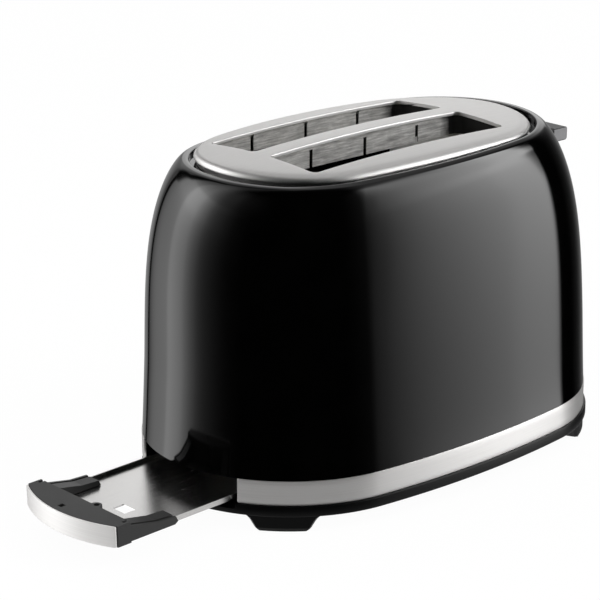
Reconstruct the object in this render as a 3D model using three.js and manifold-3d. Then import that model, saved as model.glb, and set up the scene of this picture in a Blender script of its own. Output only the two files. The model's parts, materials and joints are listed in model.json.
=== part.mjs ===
// Retro two-slot toaster with a domed steel top, a gloss shell on a steel trim band
// and a crumb tray drawn part of the way out. Millimetres, +Z up, +X towards the lever.
import * as THREE from 'three';
import { mergeVertices } from 'three/addons/utils/BufferGeometryUtils.js';
import Module from 'manifold-3d';

// Body outline in plan: two bowed sides that run into two round ends
const bodyLength = 289;
const bodyWidth = 174.7;
const bodySideRadius = 553;

// Heights of the stack, from the table up
const padThickness = 1.8;
const skirtBottom = 9;
const bandBottom = 14.7;
const bandHeight = 13.7;
const topHeight = 190;
const seam = 0.3;
const seatGap = 0.3;

// Top panel, a shallow dome with two bread slots
const panelLength = 211.6;
const panelWidth = 116.8;
const panelSideRadius = 400;
const panelShift = -3.8;
const domeLongRadius = 1355;
const domeCrossRadius = 406;
const panelSheet = 1;
const panelRoll = 2.4;
const panelRollDrop = 4.5;
const domeShares = [1, 0.75, 0.5, 0.25];
const rollShares = [[1, 1], [0.92, 0.6], [0.71, 0.29], [0.38, 0.08], [0, 0]];

// Bread slots
const slotLength = 144;
const slotWidth = 36;
const slotBridge = 12;
const slotShift = -6;
const slotCornerRadius = 3.5;
const slotFlange = 0.8;
const slotFlangeDepth = 2.2;

// Shell: pressed sheet that rises from the base and rolls in to a lip round the top panel
const shellWall = 1.2;
const shellInset = 1.3;
const shellTaper = 0.042;
const lipBelowTop = 8.5;
const shoulderHeight = 112.3;
const lipEndRise = 1.4;
const lipTilt = 0.012;
const lipOuter = 8.5;
const lipInner = 4.5;
const lipRound = 1.2;
const shelfBelowLip = 2.6;
const shelfInner = -1.5;
const shoulderPower = 3.7;
const shoulderSharpness = 0.725;
const shoulderLean = 1.3;
const wallHeightShares = [0, 0.25, 0.5, 0.75, 1];
const shoulderShares = [0.2, 0.36, 0.5, 0.61, 0.7, 0.78, 0.85, 0.91, 0.955, 0.985];
const innerWallShares = [0.9, 0.76, 0.6, 0.42, 0.2];
const shoulderWallGain = 1.6;

// Trim band and base
const bandSheet = 1;
const bandEdgeRound = 0.4;
const baseWall = 3;
const baseFloor = 2.5;
const skirtOutset = 1.2;
const skirtChamfer = 0.8;

// Crumb tray, drawn out by trayPull from its closed place
const trayPull = 79.35;
const trayTiltDegrees = 1.5;
const trayLift = 5.5;
const trayHalfWidth = 38;
const faceHeight = 11.7;
const faceMargin = 0.5;
const faceSheet = 1;
const faceCornerRadius = 0.8;
const frontDepth = 19;
const panMargin = 2;
const panSheet = 0.8;
const panFloorDrop = 3.9;
const panRim = 2.2;
const panTuck = 3;
const panReach = 0.55;
const armLength = 31;
const armWidth = 11;
const armTipHeight = 4.2;
const armRootHeight = 8.6;
const armTipRound = 4;
const pocketRoom = 0.5;
const bossRadius = 3.5;
const bossHole = 1.6;
const bossOffset = -9;
const mouldHole = 3.2;
const tabHoleLength = 7;
const tabHoleWidth = 10;
const tabHoleX = 36;
const tabHoleY = -6;
const mouthRoom = 1;
const bandMouthRoom = 0.2;
const runnerRoom = 2;
const runnerWidth = 11;
const runnerSetBack = 5.5;
const guideWall = 1.6;
const guideWallHeight = 9;
const tunnelRoom = 3.4;

// Toast chambers
const chassisSheet = 0.8;
const chassisMargin = 8;
const chassisFootWidth = 8;
const linerWall = 0.6;
const linerDepth = 14.5;
const chamberDrop = 38;
const slitSpacing = 40.3;
const slitWidth = 2.4;
const slitDrop = 4.6;
const slitLength = 21.4;
const heaterSheet = 1;
const heaterStandOff = 2.5;
const heaterLift = 14.5;
const heaterGap = 3;
const ribbonThickness = 0.4;
const ribbonWidth = 2.2;
const ribbonMargin = 4;
const ribbonInset = 6;
const ribbonCount = 9;
const wireThickness = 2;
const wireStandIn = 0.6;
const wireTravel = 7;
const guideLowInset = 4;
const guideHighInset = 1;
const guideEnd = 4;
const guideWireReach = 52;
const wireSlotRoom = 0.5;

// Bread carriage
const rackDrop = 44;
const rackRest = 5.3;
const rackSheet = 1.2;
const rackWidth = 11;
const rackToothHeight = 4;
const rackToothWidth = 5;
const rackToothCount = 10;
const rackEndGap = 1.2;
const rackSlotRoom = 1;
const carriageGap = 8;
const carriageSheet = 1.2;
const carriageMargin = 9;
const carriageBelowRack = 8;
const carriageDepth = 16;
const neckMargin = 8;
const columnHalfWidth = 8;
const carriageTopRoom = 3;
const rodRadius = 2.5;
const rodStandOff = 8;
const rodOffset = 14;
const rodBossRadius = 5;
const rodBossHeight = 24;
const rodClearance = 0.3;
const rodDrop = 20;
const bracketSheet = 1.5;
const bracketMargin = 6;
const bracketFlange = 5;
const lugLift = 26;
const lugThickness = 1.6;
const lugHalfWidth = 5;
const springRadius = 4;
const springWire = 1;
const springTurns = 12;
const springSteps = 7;
const springSides = 4;
const armThickness = 4;
const armHeight = 6;
const leverDrop = 28.5;
const armatureLength = 12;
const armatureWidth = 16;
const armatureHeight = 3;
const armatureStandOff = 19;
const armatureArm = 1.2;
const magnetGap = 0.5;
const magnetLeg = 3.5;
const coilWall = 2.4;

// Lever knob
const knobInset = 5;
const knobLength = 12;
const knobWidth = 22;
const knobHeight = 8;
const knobRound = 1.6;
const knobSocket = 5.5;

// Control console let into the lever end
const consoleHalfWidth = 30;
const consoleFoot = 5.6;
const consoleDrop = 19;
const consoleCorner = 8;
const consoleRim = 2.2;
const consoleRecess = 3.6;
const consoleDepth = 6;
const consoleProud = 0.2;
const consoleSteps = 9;
const pillarRadius = 2.5;
const pillarNear = 17;
const pillarFar = 25;
const pillarLow = 8;
const pillarHigh = 50;
const leverSlotWidth = 7;
const leverSlotRoom = 2;
const dialLift = 20;
const dialRadius = 15;
const dialFlangeRadius = 16.5;
const dialFlange = 2;
const dialLength = 9.5;
const dialTaper = 1.2;
const dialGap = 0.3;
const dialPointerWidth = 2.4;
const dialPointerDepth = 0.8;
const dialPointerLength = 10;
const shaftRadius = 3;
const shaftSocket = 5;
const potRadius = 8;
const potLength = 7;
const buttonOffset = 20;
const buttonWidth = 10;
const buttonHeight = 9;
const buttonCorner = 2;
const buttonPlaceShares = [0.359, 0.513, 0.667];
const buttonProud = 2.4;
const buttonTravel = 2;
const buttonStem = 5;
const buttonCap = 6;
const switchHeight = 2.3;
const switchSize = 6;
const boardSetBack = 28.25;
const boardSheet = 1.6;
const boardNear = -22;
const boardFar = 38;
const boardLift = 20;
const boardNotch = 9;
const boardMargin = 9;

// Feet, fasteners and the cord's inlet
const footInset = 0.5;
const footDepth = 24;
const footTopHalfDegrees = 16.5;
const footHalfDegrees = 10.2;
const footFlareShares = [[0, 0], [0.375, 0.24], [0.75, 0.5], [1, 1]];
const footFrontDegrees = 45;
const footRearDegrees = 55;
const footBlend = 4;
const footSteps = 6;
const screwHeadRadius = 3.4;
const screwHead = 2;
const screwRadius = 1.6;
const screwLength = 9;
const screwEndInset = 68.5;
const screwSideInset = 27.35;
const screwRecess = 0.4;
const screwBossRadius = 4.2;
const screwBossHeight = 9;
const screwSlotWidth = 0.9;
const inletEndInset = 48;
const inletY = 26;
const inletRadius = 6.5;
const inletLip = 1.6;
const inletLipThickness = 1.2;
const inletBore = 3.6;

// Mesh fineness and the overrun of every cut
const roundSides = 16;
const smallSides = 10;
const wireSides = 6;
const dialSides = 28;
const cornerSteps = 3;
const knobSteps = 4;
const arcSteps = 12;
const maxTurnDegrees = 9;
const maxSpan = 30;
const overrun = 5;
const weld = 0.0001;

// Places worked out from the sizes above
const bodyEnd = bodyLength / 2;
const bandTop = bandBottom + bandHeight;
const shellFoot = bandTop + seam;
const floorTop = skirtBottom + baseFloor;
const lipHeight = topHeight - lipBelowTop;
const shelfHeight = lipHeight - shelfBelowLip;
const shoulderStart = lipHeight - shoulderHeight;
const panelRimBottom = shelfHeight + seatGap;
const slotMiddle = panelShift + slotShift;
const slotOffset = (slotBridge + slotWidth) / 2;
const slotSides = [-1, 1];
const linerOuter = slotFlange + seatGap + linerWall;
const linerBottom = topHeight - linerDepth;
const chamberTop = topHeight - chamberDrop;
const slitTop = topHeight - slitDrop;
const chamberHalf = slotLength / 2 + linerOuter;
const platePositions = [slotMiddle - chamberHalf - chassisSheet, slotMiddle + chamberHalf];
const chassisTop = shelfHeight - shellWall;
const chassisHalfWidth = slotOffset + slotWidth / 2 + chassisMargin;

const trayTilt = THREE.MathUtils.degToRad(trayTiltDegrees);
const trayCentreHeight = bandBottom + trayLift;
const faceHalfWidth = trayHalfWidth - faceMargin;
const panHalfWidth = trayHalfWidth - panMargin;
const armInner = trayHalfWidth - armWidth;
const mouthHalfWidth = trayHalfWidth + mouthRoom;
const bandMouthHalfWidth = mouthHalfWidth + bandMouthRoom;
const panLength = platePositions[1] + bodyEnd + panReach;
const tunnelTop = trayLine(platePositions[1]) - panFloorDrop + panRim + tunnelRoom;

const heaterOffset = slotWidth / 2 + heaterStandOff;
const heaterBottom = tunnelTop + heaterLift;
const heaterTop = chamberTop - heaterGap;
const wireOffset = slotWidth / 2 - wireStandIn;
const guideBottom = heaterBottom + guideLowInset;
const guideTop = heaterTop - guideHighInset;

const rackTop = chamberTop - rackDrop;
const leverTravel = rackTop - rackSheet - rackRest - tunnelTop;
const leverHeight = topHeight - leverDrop;
const leverTop = leverHeight + armHeight / 2;
const carriageFace = platePositions[1] + chassisSheet + carriageGap;
const carriageBottom = rackTop - carriageBelowRack;
const carriageHalfWidth = slotOffset + carriageMargin;
const lugHeight = carriageBottom + lugLift;
const rodX = carriageFace + carriageSheet + rodStandOff;
const rodTop = topHeight - rodDrop;
const magnetX = carriageFace + armatureStandOff;
const magnetTop = carriageBottom - armatureHeight - leverTravel - magnetGap;
const knobInner = bodyEnd - knobInset;

const consoleBottom = bandTop + consoleFoot;
const consoleTop = topHeight - consoleDrop;
const dialHeight = consoleBottom + dialLift;
const buttonHeights = buttonPlaceShares.map((share) => (
  dialHeight + share * (consoleTop - dialHeight)
));
const boardFace = bodyEnd - boardSetBack;
const boardBack = boardFace + boardSheet;
const boardTop = Math.max(...buttonHeights) + boardMargin;
const boardStep = dialHeight + boardLift;
const screwX = bodyEnd - screwEndInset;
const screwY = bodyWidth / 2 - screwSideInset;
const inletX = bodyEnd - inletEndInset;

// Height of the closed tray's middle line at a place along the toaster
function trayLine(x) {
  return trayCentreHeight + (x + bodyEnd) * Math.tan(trayTilt);
}

const wasm = await Module();
wasm.setup();

const finishes = {
  shell: { color: 0x0b0b0c, roughness: 0.12, metalness: 0.1 },
  steel: { color: 0xc9c8c6, roughness: 0.3, metalness: 1 },
  galvanised: { color: 0x9a9a98, roughness: 0.45, metalness: 0.9 },
  basePlastic: { color: 0x141414, roughness: 0.5, metalness: 0 },
  trayPlastic: { color: 0x4a4a4a, roughness: 0.55, metalness: 0 },
  knobPlastic: { color: 0x3c3c3d, roughness: 0.4, metalness: 0 },
  rubber: { color: 0x1a1a1a, roughness: 0.9, metalness: 0 },
  mica: { color: 0xb9ab88, roughness: 0.7, metalness: 0 },
  board: { color: 0x1f5a34, roughness: 0.6, metalness: 0 },
  copper: { color: 0xa4582c, roughness: 0.4, metalness: 0.8 },
};

const part = new THREE.Group();

// Turns a closed geometry into a solid that can be joined and cut
function toSolid(geometry) {
  const plain = geometry.clone();
  plain.deleteAttribute('normal');
  plain.deleteAttribute('uv');
  const welded = mergeVertices(plain, weld);
  const vertProperties = new Float32Array(welded.attributes.position.array);
  const triVerts = new Uint32Array(welded.index.array);
  return new wasm.Manifold(new wasm.Mesh({ numProp: 3, vertProperties, triVerts }));
}

function toGeometry(solid) {
  const mesh = solid.getMesh();
  const geometry = new THREE.BufferGeometry();
  geometry.setAttribute('position', new THREE.BufferAttribute(mesh.vertProperties, mesh.numProp));
  geometry.setIndex(new THREE.BufferAttribute(mesh.triVerts, 1));
  geometry.computeVertexNormals();
  return geometry;
}

function join(...shapes) {
  return toGeometry(shapes.map(toSolid).reduce((all, next) => all.add(next)));
}

function cut(shape, ...tools) {
  return toGeometry(tools.map(toSolid).reduce((all, next) => all.subtract(next), toSolid(shape)));
}

function overlap(shape, other) {
  return toGeometry(toSolid(shape).intersect(toSolid(other)));
}

// Names a piece and adds it to the part or to a group of it
function place(name, finish, geometry, group = part) {
  const mesh = new THREE.Mesh(geometry, new THREE.MeshStandardMaterial(finishes[finish]));
  mesh.name = name;
  group.add(mesh);
  return mesh;
}

function block(x, y, z) {
  const size = [x, y, z].map(([low, high]) => high - low);
  const middle = [x, y, z].map(([low, high]) => (low + high) / 2);
  return new THREE.BoxGeometry(...size).translate(...middle);
}

function roundedRectangle(width, height, radius) {
  const x = width / 2;
  const y = height / 2;
  const shape = new THREE.Shape();
  shape.moveTo(x, y - radius);
  shape.absarc(x - radius, y - radius, radius, 0, Math.PI / 2);
  shape.absarc(radius - x, y - radius, radius, Math.PI / 2, Math.PI);
  shape.absarc(radius - x, radius - y, radius, Math.PI, 1.5 * Math.PI);
  shape.absarc(x - radius, radius - y, radius, 1.5 * Math.PI, 2 * Math.PI);
  return shape;
}

function polygon(points) {
  return new THREE.Shape(points.map(([x, y]) => new THREE.Vector2(x, y)));
}

const axisX = new THREE.Vector3(1, 0, 0);
const axisY = new THREE.Vector3(0, 1, 0);
const axisZ = new THREE.Vector3(0, 0, 1);

// Extrudes a shape upwards from low to high
function prismZ(shape, low, high, curveSegments = cornerSteps) {
  const settings = { depth: high - low, bevelEnabled: false, curveSegments };
  return new THREE.ExtrudeGeometry(shape, settings).translate(0, 0, low);
}

// Extrudes a shape drawn in Y and Z along X
function prismX(shape, low, high, curveSegments = cornerSteps) {
  const turn = new THREE.Matrix4().makeBasis(axisY, axisZ, axisX);
  return prismZ(shape, low, high, curveSegments).applyMatrix4(turn);
}

// Extrudes a shape drawn in X and Z along Y
function prismY(shape, low, high, curveSegments = cornerSteps) {
  const turn = new THREE.Matrix4().makeBasis(axisX, axisZ, axisY.clone().negate());
  return prismZ(shape, -high, -low, curveSegments).applyMatrix4(turn);
}

function rodZ(radius, low, high, x, y, sides = roundSides) {
  const rod = new THREE.CylinderGeometry(radius, radius, high - low, sides);
  return rod.rotateX(Math.PI / 2).translate(x, y, (low + high) / 2);
}

function rodAlongX(radius, low, high, y, z, sides = roundSides) {
  const rod = new THREE.CylinderGeometry(radius, radius, high - low, sides);
  return rod.rotateZ(Math.PI / 2).translate((low + high) / 2, y, z);
}

// A plan outline of two bowed sides and two round ends that run into each other,
// read by the angle of its normal. The ends' radius follows from the other sizes.
function makeOutline(length, width, sideRadius, shift) {
  const squares = (length ** 2 + width ** 2) / 4;
  const endRadius = (sideRadius * width - squares) / (2 * sideRadius - length);
  const end = new THREE.Vector2(length / 2 - endRadius, 0);
  const side = new THREE.Vector2(0, width / 2 - sideRadius);
  const join = end.clone().sub(side).angle();
  const arcs = [
    { to: join, centre: end, radius: endRadius },
    { to: Math.PI / 2, centre: side, radius: sideRadius },
  ];
  const point = (angle, inset) => {
    const c = Math.cos(angle);
    const s = Math.sin(angle);
    const quarter = Math.atan2(Math.abs(s), Math.abs(c));
    const arc = quarter <= join ? arcs[0] : arcs[1];
    const x = arc.centre.x + (arc.radius - inset) * Math.abs(c);
    const y = arc.centre.y + (arc.radius - inset) * Math.abs(s);
    return new THREE.Vector2(shift + x * (c < 0 ? -1 : 1), y * (s < 0 ? -1 : 1));
  };
  return { arcs, point, endRadius };
}

const body = makeOutline(bodyLength, bodyWidth, bodySideRadius, 0);
const panel = makeOutline(panelLength, panelWidth, panelSideRadius, panelShift);

// Angles round an outline, closer together where it turns or where an arc is long
function anglesFor(...outlines) {
  const stops = outlines.flatMap(({ arcs }) => arcs.map(({ to }) => to));
  const marks = [0, ...stops].sort((a, b) => a - b);
  const quarter = [];
  for (let i = 0; i + 1 < marks.length; i += 1) {
    const turn = marks[i + 1] - marks[i];
    const middle = (marks[i] + marks[i + 1]) / 2;
    const reach = Math.max(...outlines.map(({ arcs }) => (
      (middle <= arcs[0].to ? arcs[0] : arcs[1]).radius
    )));
    const turnSteps = turn / THREE.MathUtils.degToRad(maxTurnDegrees);
    const steps = Math.ceil(Math.max(turnSteps, (turn * reach) / maxSpan));
    for (let step = 0; step < steps && turn > weld; step += 1) {
      quarter.push(marks[i] + (turn * step) / steps);
    }
  }
  const mirrored = [Math.PI / 2, ...quarter.slice(1).reverse().map((angle) => Math.PI - angle)];
  const half = [...quarter, ...mirrored];
  return [...half, ...half.map((angle) => angle + Math.PI)];
}

const bodyAngles = anglesFor(body);
const panelAngles = anglesFor(panel);
const shellAngles = anglesFor(body, panel);

// Joins rings of points: a loop closes on its first ring, a stack is capped at both ends
function loft(rings, loop) {
  const count = rings[0].length;
  const positions = rings.flat().flatMap((point) => [point.x, point.y, point.z]);
  const index = [];
  const last = loop ? rings.length : rings.length - 1;
  for (let i = 0; i < last; i += 1) {
    const here = i * count;
    const above = ((i + 1) % rings.length) * count;
    for (let j = 0; j < count; j += 1) {
      const next = (j + 1) % count;
      index.push(here + j, here + next, above + next, here + j, above + next, above + j);
    }
  }
  if (!loop) {
    for (const [ring, turned] of [[0, true], [rings.length - 1, false]]) {
      const middle = new THREE.Vector3();
      rings[ring].forEach((point) => middle.addScaledVector(point, 1 / count));
      const hub = positions.length / 3;
      positions.push(middle.x, middle.y, middle.z);
      for (let j = 0; j < count; j += 1) {
        const a = ring * count + j;
        const b = ring * count + ((j + 1) % count);
        index.push(hub, turned ? b : a, turned ? a : b);
      }
    }
  }
  const geometry = new THREE.BufferGeometry();
  geometry.setAttribute('position', new THREE.Float32BufferAttribute(positions, 3));
  geometry.setIndex(index);
  return geometry;
}

function ring(outline, angles, inset, height) {
  return angles.map((angle) => {
    const { x, y } = outline.point(angle, inset);
    return new THREE.Vector3(x, y, height);
  });
}

// Height of the dome that the top panel follows
function domeHeight(x, y) {
  const along = x - panelShift;
  return topHeight - along ** 2 / (2 * domeLongRadius) - y ** 2 / (2 * domeCrossRadius);
}

// Share of the shoulder's height that lies below a height
function shoulderClimb(height) {
  return THREE.MathUtils.clamp((height - shoulderStart) / (lipHeight - shoulderStart), 0, 1);
}

// Share of the way from the upright wall in to the lip, for a height
function shoulderShare(height) {
  return 1 - (1 - shoulderClimb(height) ** shoulderPower) ** shoulderSharpness;
}

// How far the lip stands above its own height: more at both ends, most at the lever end
function lipLift(angle) {
  const along = panel.point(angle, -lipOuter).x - panelShift;
  return lipEndRise * Math.cos(angle) ** 2 + lipTilt * along;
}

// A ring of the shell at a height, moved in by depth. The shoulder leans over to the panel's middle.
function shellRing(height, depth, angles = shellAngles) {
  const share = shoulderShare(height);
  const lean = panelShift * (shoulderClimb(height) ** shoulderLean - share);
  const inset = shellInset + shellTaper * (height - bandTop) + depth;
  return angles.map((angle) => {
    const wall = body.point(angle, inset);
    const lip = panel.point(angle, depth - lipOuter);
    const { x, y } = wall.lerp(lip, share);
    return new THREE.Vector3(x + lean, y, height + share * lipLift(angle));
  });
}

// A ring near the lip, at a distance out from the top panel's edge
function lipRing(outset, height, rise) {
  return shellAngles.map((angle) => {
    const { x, y } = panel.point(angle, -outset);
    return new THREE.Vector3(x, y, height + rise * lipLift(angle));
  });
}

function consoleOutline(grow) {
  const height = consoleTop - consoleBottom + 2 * grow;
  return roundedRectangle(2 * (consoleHalfWidth + grow), height, consoleCorner + grow);
}

function consolePrism(grow) {
  const middle = (consoleTop + consoleBottom) / 2;
  const reach = bodyEnd + overrun;
  return prismX(consoleOutline(grow), boardFace - overrun, reach, cornerSteps).translate(0, 0, middle);
}

function outerShell() {
  const upright = wallHeightShares.map((share) => shellFoot + share * (shoulderStart - shellFoot));
  const shoulder = shoulderShares.map((share) => shoulderStart + share * (lipHeight - shoulderStart));
  const outer = [...upright, ...shoulder].map((height) => shellRing(height, 0));
  const lip = [
    lipRing(lipOuter - lipRound, lipHeight, 1),
    lipRing(lipInner + lipRound / 2, lipHeight, 1),
    lipRing(lipInner, lipHeight - lipRound / 2, 1),
    lipRing(lipInner, shelfHeight, 0),
    lipRing(shelfInner, shelfHeight, 0),
    lipRing(shelfInner, shelfHeight - shellWall, 0),
    lipRing(lipInner, shelfHeight - shellWall, 0),
  ];
  const inner = innerWallShares.map((share) => {
    const height = shoulderStart + share * (lipHeight - shoulderStart);
    return shellRing(height, shellWall * (1 + shoulderWallGain * shoulderShare(height)));
  });
  const foot = [shoulderStart, shellFoot].map((height) => shellRing(height, shellWall));
  return cut(loft([...outer, ...lip, ...inner, ...foot], true), consolePrism(seatGap));
}

// A slab that follows the dome between two drops below it, within the top panel's edge
function domeSlab(topDrop, bottom) {
  const domeRing = (share, drop) => ring(panel, panelAngles, 0, 0).map((point) => {
    const x = panelShift + (point.x - panelShift) * share;
    const y = point.y * share;
    return new THREE.Vector3(x, y, domeHeight(x, y) - drop);
  });
  const floor = ring(panel, panelAngles, 0, bottom);
  return loft([floor, ...domeShares.map((share) => domeRing(share, topDrop))], false);
}

function slotPrism(side, grow, low, high) {
  const shape = roundedRectangle(slotLength + 2 * grow, slotWidth + 2 * grow, slotCornerRadius + grow);
  return prismZ(shape, low, high, cornerSteps).translate(slotMiddle, side * slotOffset, 0);
}

function topPanel() {
  const edge = (outset, drop) => panelAngles.map((angle) => {
    const { x, y } = panel.point(angle, -outset);
    const crease = panel.point(angle, 0);
    return new THREE.Vector3(x, y, domeHeight(crease.x, crease.y) - drop);
  });
  const rimRing = (outset) => ring(panel, panelAngles, -outset, panelRimBottom);
  const domeRing = (share, drop) => ring(panel, panelAngles, 0, 0).map((point) => {
    const x = panelShift + (point.x - panelShift) * share;
    const y = point.y * share;
    return new THREE.Vector3(x, y, domeHeight(x, y) - drop);
  });
  const under = [0.25, 0.5, 0.75].map((share) => domeRing(share, panelSheet));
  const over = [0.75, 0.5, 0.25].map((share) => domeRing(share, 0));
  const inside = [edge(0, panelSheet), edge(panelRoll - panelSheet, panelRollDrop)];
  const outside = rollShares.map(([out, down]) => edge(panelRoll * out, panelRollDrop * down));
  const rings = [
    ...under, ...inside, rimRing(panelRoll - panelSheet), rimRing(panelRoll), ...outside, ...over,
  ];
  const cap = loft(rings, false);
  const holes = slotSides.map((side) => slotPrism(side, slotFlange, bandTop, topHeight + overrun));
  const pressed = cut(cap, ...holes);
  const collars = slotSides.map((side) => {
    const tube = cut(
      slotPrism(side, slotFlange + panelSheet / 4, panelRimBottom, topHeight + overrun),
      slotPrism(side, 0, panelRimBottom - overrun, topHeight + 2 * overrun),
    );
    const band = cut(domeSlab(0, panelRimBottom), domeSlab(slotFlangeDepth, panelRimBottom - overrun));
    return overlap(tube, band);
  });
  return join(pressed, ...collars);
}

function trimBand() {
  const rings = [
    [bandEdgeRound, bandBottom],
    [0, bandBottom + bandEdgeRound],
    [0, bandTop - bandEdgeRound],
    [bandEdgeRound, bandTop],
    [bandSheet, bandTop],
    [bandSheet, bandBottom],
  ].map(([inset, height]) => ring(body, bodyAngles, inset, height));
  const mouth = block(
    [-bodyEnd - overrun, -bodyLength / 4],
    [-bandMouthHalfWidth, bandMouthHalfWidth],
    [bandBottom - overrun, bandTop + overrun],
  );
  return cut(loft(rings, true), mouth);
}

function trayRunner(side) {
  const top = (x) => trayLine(x) - panFloorDrop - panSheet - seatGap;
  const start = -bodyEnd + frontDepth + runnerSetBack;
  const end = -bodyEnd + panLength;
  const shape = polygon([
    [start, skirtBottom + baseFloor / 2],
    [end, skirtBottom + baseFloor / 2],
    [end, top(end)],
    [start, top(start)],
  ]);
  const outer = armInner - runnerRoom;
  const low = side < 0 ? -outer : outer - runnerWidth;
  return prismY(shape, low, low + runnerWidth);
}

function guideRail(side) {
  const start = -bodyEnd;
  const end = -bodyEnd + panLength;
  const y = side < 0 ? -mouthHalfWidth - guideWall : mouthHalfWidth;
  return block([start, end], [y, y + guideWall], [skirtBottom + baseFloor / 2, floorTop + guideWallHeight]);
}

function screwPlaces() {
  return [-1, 1].flatMap((along) => [-1, 1].map((across) => [along * screwX, across * screwY]));
}

function base() {
  const wallInset = bandSheet + seam;
  const outer = loft([
    ring(body, bodyAngles, skirtChamfer - skirtOutset, skirtBottom),
    ring(body, bodyAngles, -skirtOutset, skirtBottom + skirtChamfer),
    ring(body, bodyAngles, -skirtOutset, bandBottom - seam),
    ring(body, bodyAngles, wallInset, bandBottom - seam),
    ring(body, bodyAngles, wallInset, bandTop),
  ], false);
  const room = loft([
    ring(body, bodyAngles, wallInset + baseWall, floorTop),
    ring(body, bodyAngles, wallInset + baseWall, bandTop + overrun),
  ], false);
  const mouth = block(
    [-bodyEnd - overrun, -bodyLength / 4],
    [-mouthHalfWidth, mouthHalfWidth],
    [floorTop, bandTop + overrun],
  );
  const bosses = screwPlaces().map(([x, y]) => (
    rodZ(screwBossRadius, skirtBottom + baseFloor / 2, floorTop + screwBossHeight, x, y, smallSides)
  ));
  const screwHoles = screwPlaces().flatMap(([x, y]) => [
    rodZ(screwHeadRadius + seatGap, 0, skirtBottom + screwHead + screwRecess + seatGap, x, y, smallSides),
    rodZ(screwRadius + seatGap, 0, floorTop + screwBossHeight + overrun, x, y, smallSides),
  ]);
  const inlet = rodZ(inletRadius + seatGap, 0, bandTop, inletX, inletY);
  const railRoom = loft([
    ring(body, bodyAngles, wallInset + baseWall / 2, skirtBottom),
    ring(body, bodyAngles, wallInset + baseWall / 2, bandTop),
  ], false);
  const rails = slotSides.flatMap((side) => [trayRunner(side), overlap(guideRail(side), railRoom)]);
  return cut(join(cut(outer, room, mouth), ...rails, ...bosses), ...screwHoles, inlet);
}

// Turns across a foot, as angles from the body's long axis
function footTurns(along, halfDegrees) {
  const middleDegrees = along < 0 ? footFrontDegrees : footRearDegrees;
  return Array.from({ length: footSteps + 1 }, (_, i) => (
    THREE.MathUtils.degToRad(middleDegrees + halfDegrees * ((2 * i) / footSteps - 1))
  ));
}

// A foot that follows the corner of the body, wider at the top than on the table
function foot(along, across) {
  const corner = (turn, inset, height) => {
    const angle = Math.atan2(across * Math.sin(turn), along * Math.cos(turn));
    const { x, y } = body.point(angle, inset);
    return new THREE.Vector3(x, y, height);
  };
  const rings = footFlareShares.map(([climb, grow]) => {
    const height = padThickness + climb * (skirtBottom - padThickness);
    const turns = footTurns(along, footHalfDegrees + grow * (footTopHalfDegrees - footHalfDegrees));
    const outer = turns.map((turn) => corner(turn, footInset, height));
    const inner = [...turns].reverse().map((turn) => (
      corner(turn, footDepth + grow * footBlend, height)
    ));
    const loop = [...outer, ...inner];
    return along * across < 0 ? loop.reverse() : loop;
  });
  return loft(rings, false);
}

function footPad(along, across) {
  const corner = (turn, inset, height) => {
    const angle = Math.atan2(across * Math.sin(turn), along * Math.cos(turn));
    const { x, y } = body.point(angle, inset);
    return new THREE.Vector3(x, y, height);
  };
  const turns = footTurns(along, footHalfDegrees);
  const rings = [0, padThickness].map((height) => {
    const outer = turns.map((turn) => corner(turn, footInset, height));
    const inner = [...turns].reverse().map((turn) => corner(turn, footDepth, height));
    const loop = [...outer, ...inner];
    return along * across < 0 ? loop.reverse() : loop;
  });
  return loft(rings, false);
}

function baseScrew(x, y) {
  const low = skirtBottom + screwRecess;
  const shaft = rodZ(screwRadius, low + screwHead / 2, low + screwHead + screwLength, x, y, smallSides);
  const head = rodZ(screwHeadRadius, low, low + screwHead, x, y);
  const slots = [[screwHeadRadius, screwSlotWidth], [screwSlotWidth, screwHeadRadius]].map(([a, b]) => block(
    [x - a * 0.7, x + a * 0.7],
    [y - b * 0.7, y + b * 0.7],
    [low - overrun, low + screwHead / 3],
  ));
  return cut(join(head, shaft), ...slots);
}

function cordInlet() {
  const bush = rodZ(inletRadius, skirtBottom - inletLipThickness, floorTop + inletLip, inletX, inletY);
  const lowerLip = rodZ(
    inletRadius + inletLip, skirtBottom - inletLipThickness, skirtBottom, inletX, inletY,
  );
  const bore = rodZ(inletBore, 0, bandTop, inletX, inletY);
  return cut(join(bush, lowerLip), bore);
}

function chassisPlate(x, isRear) {
  const shape = polygon([
    [-chassisHalfWidth, floorTop],
    [-chassisHalfWidth + chassisFootWidth, floorTop],
    [-chassisHalfWidth + chassisFootWidth, tunnelTop],
    [chassisHalfWidth - chassisFootWidth, tunnelTop],
    [chassisHalfWidth - chassisFootWidth, floorTop],
    [chassisHalfWidth, floorTop],
    [chassisHalfWidth, chassisTop],
    [-chassisHalfWidth, chassisTop],
  ]);
  const through = [x - overrun, x + chassisSheet + overrun];
  const wireHalf = wireThickness / 2 + wireSlotRoom;
  const wireSlots = slotSides.flatMap((side) => [-1, 1].flatMap((wall) => {
    const rest = side * slotOffset + wall * wireOffset;
    const inward = rest - wall * wireTravel;
    const y = [Math.min(rest, inward) - wireHalf, Math.max(rest, inward) + wireHalf];
    return [guideBottom, guideTop].map((z) => block(through, y, [z - wireHalf, z + wireHalf]));
  }));
  const rackSlots = slotSides.map((side) => {
    const half = rackWidth / 2 + rackSlotRoom;
    const low = rackTop - leverTravel - rackSheet - rackSlotRoom;
    const high = rackTop + rackToothHeight + rackSlotRoom;
    return block(through, [side * slotOffset - half, side * slotOffset + half], [low, high]);
  });
  return cut(prismX(shape, x, x + chassisSheet), ...wireSlots, ...(isRear ? rackSlots : []));
}

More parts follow.
